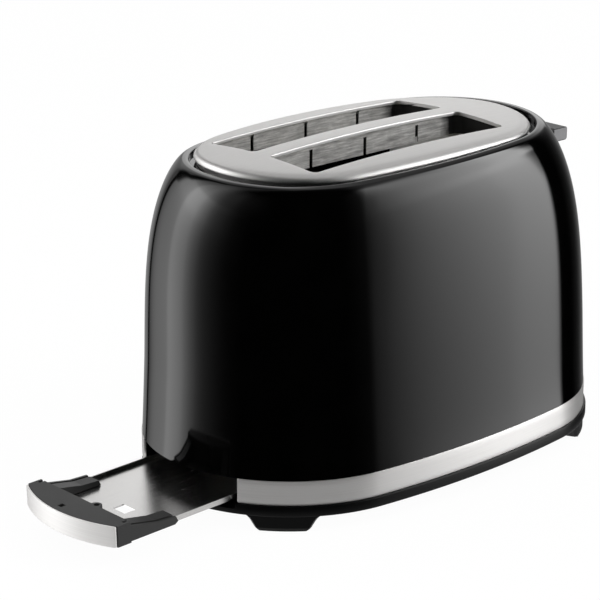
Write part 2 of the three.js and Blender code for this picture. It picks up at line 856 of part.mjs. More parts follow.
function throatLiner(side) {
  const inner = slotFlange + seatGap;
  const tube = cut(
    slotPrism(side, inner + linerWall, linerBottom, topHeight),
    slotPrism(side, inner, linerBottom - overrun, topHeight + overrun),
  );
  const slits = [-1, 0, 1].map((step) => {
    const x = slotMiddle + step * slitSpacing;
    const reach = slotWidth / 2 + overrun;
    return block(
      [x - slitWidth / 2, x + slitWidth / 2],
      [side * slotOffset - reach, side * slotOffset + reach],
      [slitTop - slitLength, slitTop],
    );
  });
  const under = domeSlab(panelSheet + seatGap, linerBottom - overrun);
  return cut(overlap(tube, under), ...slits);
}

// A mica card with resistance ribbon wound round it from top to bottom
function heaterCard(y) {
  const x = [slotMiddle - chamberHalf, slotMiddle + chamberHalf];
  const card = block(x, [y - heaterSheet / 2, y + heaterSheet / 2], [heaterBottom, heaterTop]);
  const reach = heaterSheet / 2 + ribbonThickness;
  const pitch = (heaterTop - heaterBottom - 2 * ribbonMargin - ribbonWidth) / (ribbonCount - 1);
  const length = [x[0] + ribbonInset, x[1] - ribbonInset];
  const ribbons = Array.from({ length: ribbonCount }, (_, i) => {
    const low = heaterBottom + ribbonMargin + i * pitch;
    return block(length, [y - reach, y + reach], [low, low + ribbonWidth]);
  });
  return join(card, ...ribbons);
}

// A wire frame that centres the bread: two long wires and three uprights
function breadGuide(y) {
  const radius = wireThickness / 2;
  const reach = chamberHalf + guideEnd;
  const long = [guideBottom, guideTop].map((z) => (
    rodAlongX(radius, slotMiddle - reach, slotMiddle + reach, y, z, wireSides)
  ));
  const uprights = [-1, 0, 1].map((step) => (
    rodZ(radius * 0.9, guideBottom, guideTop, slotMiddle + step * guideWireReach, y, wireSides)
  ));
  return join(...long, ...uprights);
}

function breadRack(side) {
  const start = slotMiddle - chamberHalf + rackEndGap;
  const end = carriageFace;
  const toothZone = 2 * chamberHalf - 4 * rackEndGap - rackToothWidth;
  const points = [[start, rackTop - rackSheet], [end, rackTop - rackSheet], [end, rackTop]];
  for (let i = rackToothCount - 1; i >= 0; i -= 1) {
    const left = start + rackEndGap + (toothZone * i) / (rackToothCount - 1);
    points.push([left + rackToothWidth, rackTop], [left + rackToothWidth * 0.75, rackTop + rackToothHeight]);
    points.push([left + rackToothWidth * 0.25, rackTop + rackToothHeight], [left, rackTop]);
  }
  points.push([start, rackTop]);
  const middle = side * slotOffset;
  return prismY(polygon(points), middle - rackWidth / 2, middle + rackWidth / 2);
}

function carriage() {
  const face = [carriageFace, carriageFace + carriageSheet];
  const low = carriageBottom;
  const cross = block(face, [-carriageHalfWidth, carriageHalfWidth], [low, low + carriageDepth]);
  const neckHalf = rodOffset + neckMargin;
  const neck = block(face, [-neckHalf, neckHalf], [low, lugHeight + lugThickness]);
  const column = block(
    face, [-columnHalfWidth, columnHalfWidth], [low, leverTop + carriageTopRoom],
  );
  const boss = rodZ(rodBossRadius, low, low + rodBossHeight, rodX, rodOffset);
  const bossWeb = block(
    [carriageFace, rodX], [rodOffset - rodRadius, rodOffset + rodRadius], [low, low + rodBossHeight],
  );
  const lug = block(
    [carriageFace, rodX + lugHalfWidth],
    [-rodOffset - lugHalfWidth, -rodOffset + lugHalfWidth],
    [lugHeight, lugHeight + lugThickness],
  );
  const foot = block(
    [carriageFace, magnetX + armatureLength],
    [-armatureWidth / 2, armatureWidth / 2],
    [low, low + armatureArm],
  );
  const bore = rodZ(
    rodRadius + rodClearance, low - overrun, low + rodBossHeight + overrun, rodX, rodOffset,
  );
  return cut(join(cross, neck, column, boss, bossWeb, lug, foot), bore);
}

function leverArm() {
  return block(
    [carriageFace + carriageSheet, knobInner + knobSocket],
    [-armThickness / 2, armThickness / 2],
    [leverHeight - armHeight / 2, leverTop],
  );
}

function leverKnob() {
  const shape = roundedRectangle(knobLength, knobHeight, knobRound);
  const grip = prismY(shape, -knobWidth / 2, knobWidth / 2, knobSteps);
  grip.translate(knobInner + knobLength / 2, 0, leverHeight);
  const socket = block(
    [knobInner - overrun, knobInner + knobSocket],
    [-armThickness / 2 - seatGap, armThickness / 2 + seatGap],
    [leverHeight - armHeight / 2 - seatGap, leverTop + seatGap],
  );
  return cut(grip, socket);
}

function armature() {
  return block(
    [magnetX, magnetX + armatureLength],
    [-armatureWidth / 2, armatureWidth / 2],
    [carriageBottom - armatureHeight, carriageBottom],
  );
}

function magnetCore() {
  const half = armatureWidth / 2;
  const along = [magnetX, magnetX + armatureLength];
  const whole = block(along, [-half, half], [floorTop, magnetTop]);
  const inner = magnetLeg / 2;
  const outer = half - magnetLeg / 2;
  const windows = [[-outer, -inner], [inner, outer]].map((y) => block(
    [along[0] - overrun, along[1] + overrun], y, [floorTop + magnetLeg / 2, magnetTop + overrun],
  ));
  return cut(whole, ...windows);
}

function magnetCoil() {
  const low = floorTop + magnetLeg / 2 + seatGap;
  const high = magnetTop - seatGap;
  const inner = magnetLeg / 2 + seatGap;
  const outer = inner + coilWall;
  const inside = [magnetX - seatGap, magnetX + armatureLength + seatGap];
  const outside = [inside[0] - coilWall, inside[1] + coilWall];
  const wound = block(outside, [-outer, outer], [low, high]);
  const leg = block(inside, [-inner, inner], [low - overrun, high + overrun]);
  return cut(wound, leg);
}

function carriageRod() {
  return rodZ(rodRadius, floorTop, rodTop, rodX, rodOffset);
}

function rodBracket() {
  const wall = platePositions[1] + chassisSheet;
  const reach = rodX + springRadius + springWire;
  const half = rodOffset + bracketMargin;
  const high = rodTop + bracketSheet;
  const top = block([wall, reach], [-half, half], [rodTop, high]);
  const flange = block([wall, wall + bracketSheet], [-half, half], [rodTop - bracketFlange, high]);
  return join(top, flange);
}

// Tension spring between the bracket and the carriage's lug, one tube along a helix
function returnSpring() {
  const low = lugHeight + lugThickness;
  const high = rodTop;
  const wire = springWire / 2;
  const count = springTurns * springSteps;
  const climb = (high - low - springWire) / count;
  const rings = Array.from({ length: count + 1 }, (_, i) => {
    const turn = (2 * Math.PI * i) / springSteps;
    const outward = new THREE.Vector3(Math.cos(turn), Math.sin(turn), 0);
    const centre = new THREE.Vector3(rodX, -rodOffset, low + wire + i * climb);
    centre.addScaledVector(outward, springRadius);
    return Array.from({ length: springSides }, (__, j) => {
      const lean = (2 * Math.PI * j) / springSides;
      const point = centre.clone().addScaledVector(outward, wire * Math.cos(lean));
      return point.addScaledVector(axisZ, wire * Math.sin(lean));
    });
  });
  return loft(rings.reverse(), false);
}

function controlConsole() {
  const heights = Array.from({ length: consoleSteps + 1 }, (_, i) => (
    consoleBottom - overrun / 2 + ((consoleTop - consoleBottom + overrun) * i) / consoleSteps
  ));
  const skin = (depth) => heights.map((height) => shellRing(height, depth));
  const sheet = (front, back) => loft([...skin(front), ...skin(back).reverse()], true);
  const front = overlap(sheet(consoleProud, consoleDepth), consolePrism(0));
  const recess = overlap(sheet(-overrun, consoleRecess), consolePrism(-consoleRim));
  const slotLow = leverHeight - leverTravel - armHeight / 2 - leverSlotRoom;
  const through = [boardFace, bodyEnd + overrun];
  const slotHigh = leverTop + leverSlotRoom;
  const leverSlot = block(through, [-leverSlotWidth / 2, leverSlotWidth / 2], [slotLow, slotHigh]);
  const buttonHoles = buttonHeights.map((z) => buttonPrism(...through, seatGap, z));
  const shaftHole = rodAlongX(shaftRadius + seatGap, ...through, 0, dialHeight);
  const places = [[-pillarNear, pillarLow], [pillarFar, pillarLow], [pillarFar, pillarHigh]];
  const pillars = places.map(([y, lift]) => {
    const z = consoleBottom + lift;
    return rodAlongX(pillarRadius, boardBack, consoleFace(z, y) - consoleRim / 2, y, z, smallSides);
  });
  return join(cut(front, recess, leverSlot, shaftHole, ...buttonHoles), ...pillars);
}

// Front face of the recessed panel at a height, at a place across it
function consoleFace(z, y = 0) {
  const bow = y ** 2 / (2 * body.endRadius);
  return shellRing(z, consoleRecess, [0])[0].x - bow;
}

function buttonPrism(low, high, grow, z) {
  const shape = roundedRectangle(buttonWidth + 2 * grow, buttonHeight + 2 * grow, buttonCorner);
  return prismX(shape, low, high, cornerSteps).translate(0, buttonOffset, z);
}

function button(z) {
  const front = consoleFace(z, buttonOffset) + buttonProud;
  const stemEnd = boardBack + seatGap + switchHeight + buttonTravel + seatGap;
  const cap = buttonPrism(front - buttonCap, front, 0, z);
  const half = buttonStem / 2;
  const stem = block(
    [stemEnd, front - buttonCap / 2], [buttonOffset - half, buttonOffset + half], [z - half, z + half],
  );
  return join(cap, stem);
}

function buttonSwitch(z) {
  const half = switchSize / 2;
  const y = [buttonOffset - half, buttonOffset + half];
  return block([boardBack, boardBack + switchHeight], y, [z - half, z + half]);
}

function circuitBoard() {
  const shape = polygon([
    [boardNear, floorTop],
    [boardFar, floorTop],
    [boardFar, boardTop],
    [boardNotch, boardTop],
    [boardNotch, boardStep],
    [boardNear, boardStep],
  ]);
  return prismX(shape, boardFace, boardBack);
}

function controlPot() {
  return rodAlongX(potRadius, boardBack, boardBack + potLength, 0, dialHeight);
}

const dialBack = consoleFace(dialHeight - dialFlangeRadius) + dialGap;

function dialShaft() {
  const low = boardBack + potLength + seatGap;
  return rodAlongX(shaftRadius, low, dialBack + shaftSocket - seatGap, 0, dialHeight);
}

function browningDial() {
  const front = dialBack + dialLength;
  const profile = [
    [0, 0],
    [dialFlangeRadius, 0],
    [dialFlangeRadius, dialFlange],
    [dialRadius, dialFlange],
    [dialRadius - dialTaper, dialLength - dialTaper],
    [dialRadius - 2 * dialTaper, dialLength],
    [0, dialLength],
  ].map(([radius, height]) => new THREE.Vector2(radius, height));
  const turned = new THREE.LatheGeometry(profile, dialSides).rotateZ(-Math.PI / 2);
  turned.translate(dialBack, 0, dialHeight);
  const socket = rodAlongX(shaftRadius + seatGap, dialBack - overrun, dialBack + shaftSocket, 0, dialHeight);
  const pointer = block(
    [front - dialPointerDepth, front + overrun],
    [-dialPointerWidth / 2, dialPointerWidth / 2],
    [dialHeight + dialRadius - dialPointerLength, dialHeight + dialRadius + overrun],
  );
  return cut(turned, socket, pointer);
}

// The tray is drawn in its own frame: X runs in from the front's crown, Z up from its middle
const tray = new THREE.Group();

// X of the front's arc in the tray's frame, at a place across it and a depth behind it
function faceArc(y, depth) {
  return body.endRadius - Math.sqrt((body.endRadius - depth) ** 2 - y ** 2);
}

function frontOutline(halfWidth, depth, back) {
  const points = Array.from({ length: arcSteps + 1 }, (_, i) => {
    const y = halfWidth * (1 - (2 * i) / arcSteps);
    return [faceArc(y, depth), y];
  });
  return polygon([...points, ...back]);
}

function trayFace() {
  const back = Array.from({ length: arcSteps + 1 }, (_, i) => {
    const y = faceHalfWidth * ((2 * i) / arcSteps - 1);
    return [faceArc(y, faceSheet), y];
  });
  const sheet = prismZ(frontOutline(faceHalfWidth, 0, back), -faceHeight / 2, faceHeight / 2);
  const blank = roundedRectangle(2 * faceHalfWidth, faceHeight, faceCornerRadius);
  return overlap(sheet, prismX(blank, -overrun, frontDepth, cornerSteps));
}

function trayArm(side) {
  const low = -faceHeight / 2 + panSheet;
  const tip = frontDepth + armLength;
  const shape = polygon([
    [frontDepth - overrun, low],
    [tip - armTipRound / 2, low],
    [tip, low + armTipHeight / 3],
    [tip - armTipRound / 3, low + armTipHeight],
    [frontDepth + armLength * 0.6, low + armTipHeight * 1.15],
    [frontDepth, low + armRootHeight],
    [frontDepth - overrun, low + armRootHeight],
  ]);
  const near = side < 0 ? -trayHalfWidth : armInner;
  return prismY(shape, near, near + trayHalfWidth - armInner);
}

function trayFront() {
  const back = [[frontDepth, -trayHalfWidth], [frontDepth, trayHalfWidth]];
  const outline = frontOutline(trayHalfWidth, faceSheet + seatGap, back);
  const body = prismZ(outline, -faceHeight / 2, faceHeight / 2);
  const boss = rodZ(bossRadius, -faceHeight / 2 + panFloorDrop, faceHeight / 2, frontDepth, bossOffset);
  const boreX = frontDepth + bossHole / 2;
  const bossBore = rodZ(bossHole, -panFloorDrop + panRim, faceHeight, boreX, bossOffset, smallSides);
  const hole = block(
    [frontDepth / 4, frontDepth / 4 + mouldHole], [mouldHole / 2, 1.5 * mouldHole], [0, faceHeight],
  );
  const floorPocket = block(
    [frontDepth - panTuck - seatGap, frontDepth + armLength + overrun],
    [-panHalfWidth - pocketRoom, panHalfWidth + pocketRoom],
    [-panFloorDrop - panSheet - pocketRoom, -panFloorDrop + pocketRoom / 2],
  );
  const rimSlots = slotSides.map((side) => {
    const outer = panHalfWidth + pocketRoom;
    const inner = panHalfWidth - panSheet - pocketRoom;
    const y = side < 0 ? [-outer, -inner] : [inner, outer];
    const end = frontDepth + armLength + overrun;
    const low = -panFloorDrop - panSheet - pocketRoom;
    return block([frontDepth - panTuck - seatGap, end], y, [low, faceHeight]);
  });
  const under = block(
    [frontDepth - seatGap, frontDepth + armLength + overrun],
    [-panHalfWidth - pocketRoom, panHalfWidth + pocketRoom],
    [-faceHeight, -panFloorDrop],
  );
  return cut(join(body, trayArm(-1), trayArm(1), boss), bossBore, hole, floorPocket, ...rimSlots, under);
}

function trayPan() {
  const start = frontDepth - panTuck;
  const low = -panFloorDrop - panSheet;
  const outer = block([start, panLength], [-panHalfWidth, panHalfWidth], [low, -panFloorDrop + panRim]);
  const room = block(
    [start - overrun, panLength - panSheet],
    [panSheet - panHalfWidth, panHalfWidth - panSheet],
    [-panFloorDrop, faceHeight],
  );
  const tabHole = block(
    [tabHoleX, tabHoleX + tabHoleLength],
    [tabHoleY - tabHoleWidth / 2, tabHoleY + tabHoleWidth / 2],
    [low - overrun, faceHeight],
  );
  return cut(outer, room, tabHole);
}

const cornerNames = [
  ['front_near', -1, -1],
  ['front_far', -1, 1],
  ['rear_near', 1, -1],
  ['rear_far', 1, 1],
];

place('outer_shell', 'shell', outerShell());
place('top_panel', 'steel', topPanel());
place('trim_band', 'steel', trimBand());
place('base', 'basePlastic', base());
for (const [name, along, across] of cornerNames) {
  place(`foot_${name}`, 'basePlastic', foot(along, across));
  place(`foot_pad_${name}`, 'rubber', footPad(along, across));
  place(`base_screw_${name}`, 'galvanised', baseScrew(along * screwX, across * screwY));
}
place('cord_inlet', 'rubber', cordInlet());
place('chassis_plate_front', 'galvanised', chassisPlate(platePositions[0], false));
place('chassis_plate_rear', 'galvanised', chassisPlate(platePositions[1], true));
for (const [name, side] of [['near', -1], ['far', 1]]) {
  const middle = side * slotOffset;
  place(`throat_liner_${name}`, 'galvanised', throatLiner(side));
  place(`bread_rack_${name}`, 'galvanised', breadRack(side));
  for (const [wall, turn] of [['outer', side], ['inner', -side]]) {
    place(`heater_${name}_${wall}`, 'mica', heaterCard(middle + turn * heaterOffset));
    place(`bread_guide_${name}_${wall}`, 'galvanised', breadGuide(middle + turn * wireOffset));
  }
}
place('carriage', 'galvanised', carriage());
place('carriage_rod', 'steel', carriageRod());
place('rod_bracket', 'galvanised', rodBracket());
place('return_spring', 'steel', returnSpring());
place('lever_arm', 'galvanised', leverArm());
place('lever_knob', 'knobPlastic', leverKnob());
place('armature', 'steel', armature());
place('magnet_core', 'steel', magnetCore());
place('magnet_coil', 'copper', magnetCoil());
place('control_console', 'basePlastic', controlConsole());
place('circuit_board', 'board', circuitBoard());
place('control_pot', 'knobPlastic', controlPot());
place('dial_shaft', 'steel', dialShaft());
place('browning_dial', 'knobPlastic', browningDial());
buttonHeights.forEach((z, i) => {
  const name = ['cancel', 'reheat', 'defrost'][i] ?? `extra_${i}`;
  place(`button_${name}`, 'knobPlastic', button(z));
  place(`switch_${name}`, 'knobPlastic', buttonSwitch(z));
});
place('tray_face', 'steel', trayFace(), tray);
place('tray_front', 'trayPlastic', trayFront(), tray);
place('tray_pan', 'steel', trayPan(), tray);
tray.rotation.y = -trayTilt;
tray.position.x = -bodyEnd - trayPull * Math.cos(trayTilt);
tray.position.z = trayCentreHeight - trayPull * Math.sin(trayTilt);
part.add(tray);

// The part's origin lies under the middle of its box, on the table
part.updateMatrixWorld(true);
const middle = new THREE.Box3().setFromObject(part, true).getCenter(new THREE.Vector3());
part.position.set(-middle.x, -middle.y, 0);

export default part;
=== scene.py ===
import json
import math

import bpy
import numpy as np
from mathutils import Matrix, Vector
from mathutils.geometry import delaunay_2d_cdt


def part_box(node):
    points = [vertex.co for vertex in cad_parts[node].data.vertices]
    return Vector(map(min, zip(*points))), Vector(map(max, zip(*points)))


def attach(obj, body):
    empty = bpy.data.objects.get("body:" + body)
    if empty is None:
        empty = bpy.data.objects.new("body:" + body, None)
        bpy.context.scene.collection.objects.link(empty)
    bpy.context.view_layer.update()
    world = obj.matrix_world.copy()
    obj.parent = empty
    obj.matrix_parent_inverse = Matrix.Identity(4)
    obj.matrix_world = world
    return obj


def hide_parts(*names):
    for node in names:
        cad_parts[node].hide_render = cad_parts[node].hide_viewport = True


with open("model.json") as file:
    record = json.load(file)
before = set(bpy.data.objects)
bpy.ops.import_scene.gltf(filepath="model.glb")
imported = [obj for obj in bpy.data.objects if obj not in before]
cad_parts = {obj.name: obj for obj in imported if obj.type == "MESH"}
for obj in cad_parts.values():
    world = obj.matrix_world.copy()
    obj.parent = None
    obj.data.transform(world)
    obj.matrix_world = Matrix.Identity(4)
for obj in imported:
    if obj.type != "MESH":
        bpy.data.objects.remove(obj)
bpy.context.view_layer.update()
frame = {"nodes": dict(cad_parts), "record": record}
bpy.context.scene.view_settings.view_transform = "Standard"
MM = 0.001

# Sizes shared with the part's source, in millimetres unless a name says otherwise
BODY_LENGTH, BODY_WIDTH, BODY_SIDE = 289.0, 174.7, 553.0
PANEL_LENGTH, PANEL_WIDTH, PANEL_SIDE, PANEL_SHIFT = 211.6, 116.8, 400.0, -3.8
DOME_LONG, DOME_CROSS, TOP = 1355.0, 406.0, 190.0
SLOT_LENGTH, SLOT_WIDTH, SLOT_BRIDGE, SLOT_MIDDLE = 144.0, 36.0, 12.0, -9.8
SLOT_OFFSET, SLOT_CORNER = (SLOT_BRIDGE + SLOT_WIDTH) / 2, 3.5
PAD, BAND_BOTTOM, BAND_TOP = 1.8, 14.7, 28.4
SHELL_FOOT, SHELL_WALL, SHELL_INSET, SHELL_TAPER = 28.5, 1.2, 1.3, 0.042
LIP_HEIGHT, LIP_RISE, LIP_TILT, LIP_OUTER, LIP_INNER = 181.5, 1.4, 0.012, 8.5, 4.5
SHOULDER_START, SHELF, SHELF_INNER = 69.2, 178.9, -1.5
RIM_BOTTOM, MOUTH, BAND_MOUTH = 179.2, 39.0, 39.2
FLOOR_TOP = 11.5
CONSOLE_HALF, CONSOLE_BOTTOM, CONSOLE_TOP, CONSOLE_CORNER = 30.0, 34.0, 171.0, 8.0
FACE_HALF, FACE_HEIGHT, FACE_SHEET, FACE_CORNER = 37.5, 11.7, 1.0, 0.8
TRAY_TILT, TRAY_PULL, TRAY_HEIGHT = math.radians(1.5), 79.35, 20.2
SCREW_X, SCREW_Y, INLET_X, INLET_Y = 76.0, 60.0, 96.5, 26.0
FOOT_INSET, FOOT_DEPTH = 0.5, 24.0
BODY_END, PAN_END = BODY_LENGTH / 2, 64.45

shell_low, shell_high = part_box("outer_shell")
BODY_X = (shell_low.x + shell_high.x) / 2 / MM


# ---------- outlines and meshes ----------

class Outline:
    """Two bowed sides and two round ends, read by the angle of the normal."""

    def __init__(self, length, width, side, shift):
        squares = (length ** 2 + width ** 2) / 4
        self.end = (side * width - squares) / (2 * side - length)
        self.side, self.shift = side, shift
        self.ex, self.sy = length / 2 - self.end, width / 2 - side
        self.turn = math.atan2(-self.sy, self.ex)

    def points(self, angles, inset=0.0):
        c, s = np.cos(angles), np.sin(angles)
        quarter = np.arctan2(np.abs(s), np.abs(c))
        at_end = quarter <= self.turn
        x = np.where(at_end, self.ex + (self.end - inset) * np.abs(c), (self.side - inset) * np.abs(c))
        y = np.where(at_end, (self.end - inset) * np.abs(s), self.sy + (self.side - inset) * np.abs(s))
        return np.stack([self.shift + x * np.sign(c), y * np.sign(s)], 1)


def tuck(angles):
    """Share of a small pull inwards, most where the ends turn into the sides."""
    return np.sin(2 * angles) ** 2


def round_angles(outline, ends=58, sides=22):
    """Angles all round, with so many in each quarter's end and side."""
    quarter = np.concatenate([
        np.linspace(0, outline.turn, ends, endpoint=False),
        np.linspace(outline.turn, math.pi / 2, sides, endpoint=False),
    ])
    half = np.concatenate([quarter, [math.pi / 2], (math.pi - quarter[1:])[::-1]])
    return np.concatenate([half, half + math.pi])


BODY = Outline(BODY_LENGTH, BODY_WIDTH, BODY_SIDE, 0.0)
PANEL = Outline(PANEL_LENGTH, PANEL_WIDTH, PANEL_SIDE, PANEL_SHIFT)
ANGLES = round_angles(BODY)
TUCK = tuck(ANGLES)


def lift(points, height):
    heights = np.broadcast_to(np.asarray(height, float), (len(points),))
    return np.column_stack([points, heights])


def loft(rings, loop=False, caps=(False, False)):
    """Vertices and faces of rings joined in turn; a loop joins the last to the first."""
    count = len(rings[0])
    verts = np.concatenate(rings)
    j = np.arange(count)
    k = (j + 1) % count
    faces = []
    for i in range(len(rings) if loop else len(rings) - 1):
        a, b = i * count, ((i + 1) % len(rings)) * count
        faces += np.column_stack([a + j, a + k, b + k, b + j]).tolist()
    if caps[0]:
        faces.append(list(range(count))[::-1])
    if caps[1]:
        faces.append(list(range((len(rings) - 1) * count, len(rings) * count)))
    return verts, faces


def new_object(name, verts, faces, shift=True):
    """Object from millimetres about the body's middle, or about the frame's origin without shift."""
    verts = np.array(verts, float)
    if shift:
        verts = verts + [BODY_X, 0, 0]
    mesh = bpy.data.meshes.new(name)
    mesh.from_pydata((verts * MM).tolist(), [], faces)
    mesh.update()
    obj = bpy.data.objects.new(name, mesh)
    bpy.context.scene.collection.objects.link(obj)
    return obj


def settle(obj):
    """Applies an object's modifiers to its mesh, in a new one."""
    bpy.context.view_layer.update()
    graph = bpy.context.evaluated_depsgraph_get()
    mesh = bpy.data.meshes.new_from_object(obj.evaluated_get(graph))
    obj.modifiers.clear()
    obj.data = mesh


def combine(obj, others, operation):
    """Joins other objects to one, or cuts them from it, and removes them."""
    for other in others:
        step = obj.modifiers.new("join", "BOOLEAN")
        step.operation, step.solver, step.object = operation, "EXACT", other
    settle(obj)
    for other in others:
        bpy.data.objects.remove(other)


def smooth(obj, sharp=32):
    for polygon in obj.data.polygons:
        polygon.use_smooth = True
    obj.data.set_sharp_from_angle(angle=math.radians(sharp))


def finish_piece(obj, body, slot, *nodes, look=None, sharp=32):
    """Gives a piece its look, which is its slot's unless another is named, and the body it rides on, and
    hides the nodes it stands for.
    """
    obj.data.materials.clear()
    obj.data.materials.append(M[look or slot])
    smooth(obj, sharp)
    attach(obj, body)
    if nodes:
        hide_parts(*nodes)


def add_grain(obj, place):
    """Flat coordinates that follow the brushing, for the direction of the metal's streaks."""
    grain = obj.data.uv_layers.new(name="grain")
    for loop in obj.data.loops:
        grain.data[loop.index].uv = place(loop.vertex_index, obj.data.vertices[loop.vertex_index].co)


def rounded_loop(width, height, radius, steps=6, spacing=None):
    """Points of a rounded rectangle, anticlockwise from the upper end of its right side."""
    x, y = width / 2 - radius, height / 2 - radius
    points = []
    for (cx, cy), start in (((x, y), 0), ((-x, y), 90), ((-x, -y), 180), ((x, -y), 270)):
        for i in range(steps + 1):
            turn = math.radians(start + 90 * i / steps)
            points.append((cx + radius * math.cos(turn), cy + radius * math.sin(turn)))
    points = np.array(points)
    if spacing is None:
        return points
    out = []
    for a, b in zip(points, np.roll(points, -1, 0)):
        pieces = max(1, int(np.linalg.norm(b - a) // spacing))
        out += [a + (b - a) * t / pieces for t in range(pieces)]
    return np.array(out)


def prism(name, points, low, high, axis="z"):
    """Closed prism over plan points, over Y and Z for axis x, or over X and Z for axis y."""
    a, b = lift(points, low), lift(points, high)
    if axis == "x":
        a, b = a[:, [2, 0, 1]], b[:, [2, 0, 1]]
    if axis == "y":
        a, b = b[:, [0, 2, 1]], a[:, [0, 2, 1]]
    return new_object(name, *loft([a, b], caps=(True, True)))


def box_piece(name, x, y, z):
    plan = np.array([(x[0], y[0]), (x[1], y[0]), (x[1], y[1]), (x[0], y[1])])
    return prism(name, plan, z[0], z[1])


# ---------- materials ----------

def material(name):
    made = bpy.data.materials.new(name)
    made.use_nodes = True
    nodes, links = made.node_tree.nodes, made.node_tree.links
    return made, nodes, links, nodes["Principled BSDF"]


def place_texture(nodes, links, scale=(1, 1, 1)):
    where = nodes.new("ShaderNodeTexCoord")
    mapping = nodes.new("ShaderNodeMapping")
    mapping.inputs["Scale"].default_value = scale
    links.new(where.outputs["Object"], mapping.inputs["Vector"])
    return mapping.outputs["Vector"]


def noise(nodes, links, vector, scale, detail=3.0, roughness=0.55):
    texture = nodes.new("ShaderNodeTexNoise")
    texture.inputs["Scale"].default_value = scale
    texture.inputs["Detail"].default_value = detail
    texture.inputs["Roughness"].default_value = roughness
    links.new(vector, texture.inputs["Vector"])
    return texture.outputs["Fac"]


def spread(nodes, links, value, low, high, start=0.3, end=0.7):
    """Level from low to high while the value goes from start to end."""
    remap = nodes.new("ShaderNodeMapRange")
    for name, number in (("From Min", start), ("From Max", end), ("To Min", low), ("To Max", high)):
        remap.inputs[name].default_value = number
    links.new(value, remap.inputs["Value"])
    return remap.outputs["Result"]


def tint(nodes, links, value, low, high, start=0.3, end=0.7):
    """Colour from low to high while the value goes from start to end."""
    ramp = nodes.new("ShaderNodeValToRGB")
    ramp.color_ramp.elements[0].position, ramp.color_ramp.elements[1].position = start, end
    ramp.color_ramp.elements[0].color = (*low, 1)
    ramp.color_ramp.elements[1].color = (*high, 1)
    links.new(value, ramp.inputs["Fac"])
    return ramp.outputs["Color"]


def bump(nodes, links, shader, height, strength, distance):
    node = nodes.new("ShaderNodeBump")
    node.inputs["Strength"].default_value = strength
    node.inputs["Distance"].default_value = distance
    links.new(height, node.inputs["Height"])
    links.new(node.outputs["Normal"], shader.inputs["Normal"])


class Nodes:
    """Short way to write sums in a node tree."""

    def __init__(self, tree):
        self.nodes, self.links = tree.nodes, tree.links

    def math(self, operation, *values):
        node = self.nodes.new("ShaderNodeMath")
        node.operation = operation
        for i, value in enumerate(values):
            if isinstance(value, (int, float)):
                node.inputs[i].default_value = value
            else:
                self.links.new(value, node.inputs[i])
        return node.outputs[0]

    def plus(self, first, *others):
        for other in others:
            first = self.math("ADD", first, other)
        return first

    def minus(self, first, other):
        return self.math("SUBTRACT", first, other)

    def times(self, first, *others):
        for other in others:
            first = self.math("MULTIPLY", first, other)
        return first

    def share(self, value):
        """Value kept between none and all."""
        return self.math("MINIMUM", self.math("MAXIMUM", value, 0.0), 1.0)

    def ramp(self, value, *stops):
        """Value read off a smooth line through stops (place, level), flat beyond both ends."""
        node = self.nodes.new("ShaderNodeFloatCurve")
        low, high = stops[0][0], stops[-1][0]
        peak = max(level for _, level in stops) or 1.0
        curve = node.mapping.curves[0]
        places = [((place - low) / (high - low), level / peak) for place, level in stops]
        curve.points[0].location, curve.points[1].location = places[0], places[-1]
        for place in places[1:-1]:
            curve.points.new(*place)
        for point in curve.points:
            point.handle_type = "AUTO_CLAMPED"
        node.mapping.update()
        scaled = self.math("DIVIDE", self.minus(value, low), high - low)
        self.links.new(self.share(scaled), node.inputs["Value"])
        return self.times(node.outputs[0], peak)


def enamel():
    """Gloss black, with the faint waviness of a baked coat."""
    made, nodes, links, shader = material("gloss_black_enamel")
    vector = place_texture(nodes, links)
    soft = noise(nodes, links, vector, 60, 2)
    links.new(tint(nodes, links, soft, (0.0002, 0.0002, 0.0002), (0.0005, 0.0005, 0.0005)),
              shader.inputs["Base Color"])
    links.new(spread(nodes, links, soft, 0.055, 0.075), shader.inputs["Roughness"])
    fine = noise(nodes, links, vector, 420, 1)
    bump(nodes, links, shader, fine, 0.02, 0.00006)
    return made


def brushed(name, colour, scale, roughness, anisotropy=0.0, depth=0.00001, metallic=1.0):
    """Metal with fine streaks; scale is small along them and large across."""
    made, nodes, links, shader = material(name)
    vector = place_texture(nodes, links, scale)
    streak = noise(nodes, links, vector, 1.0, 6, 0.7)
    low = tuple(channel * 0.93 for channel in colour)
    links.new(tint(nodes, links, streak, low, colour, 0.35, 0.62), shader.inputs["Base Color"])
    shader.inputs["Metallic"].default_value = metallic
    shader.inputs["Anisotropic"].default_value = anisotropy
    shader.inputs["Anisotropic Rotation"].default_value = 0.25
    links.new(spread(nodes, links, streak, *roughness), shader.inputs["Roughness"])
    bump(nodes, links, shader, streak, 0.25, depth)
    if anisotropy:
        tangent = nodes.new("ShaderNodeTangent")
        tangent.direction_type, tangent.uv_map = "UV_MAP", "grain"
        links.new(tangent.outputs["Tangent"], shader.inputs["Tangent"])
    return made


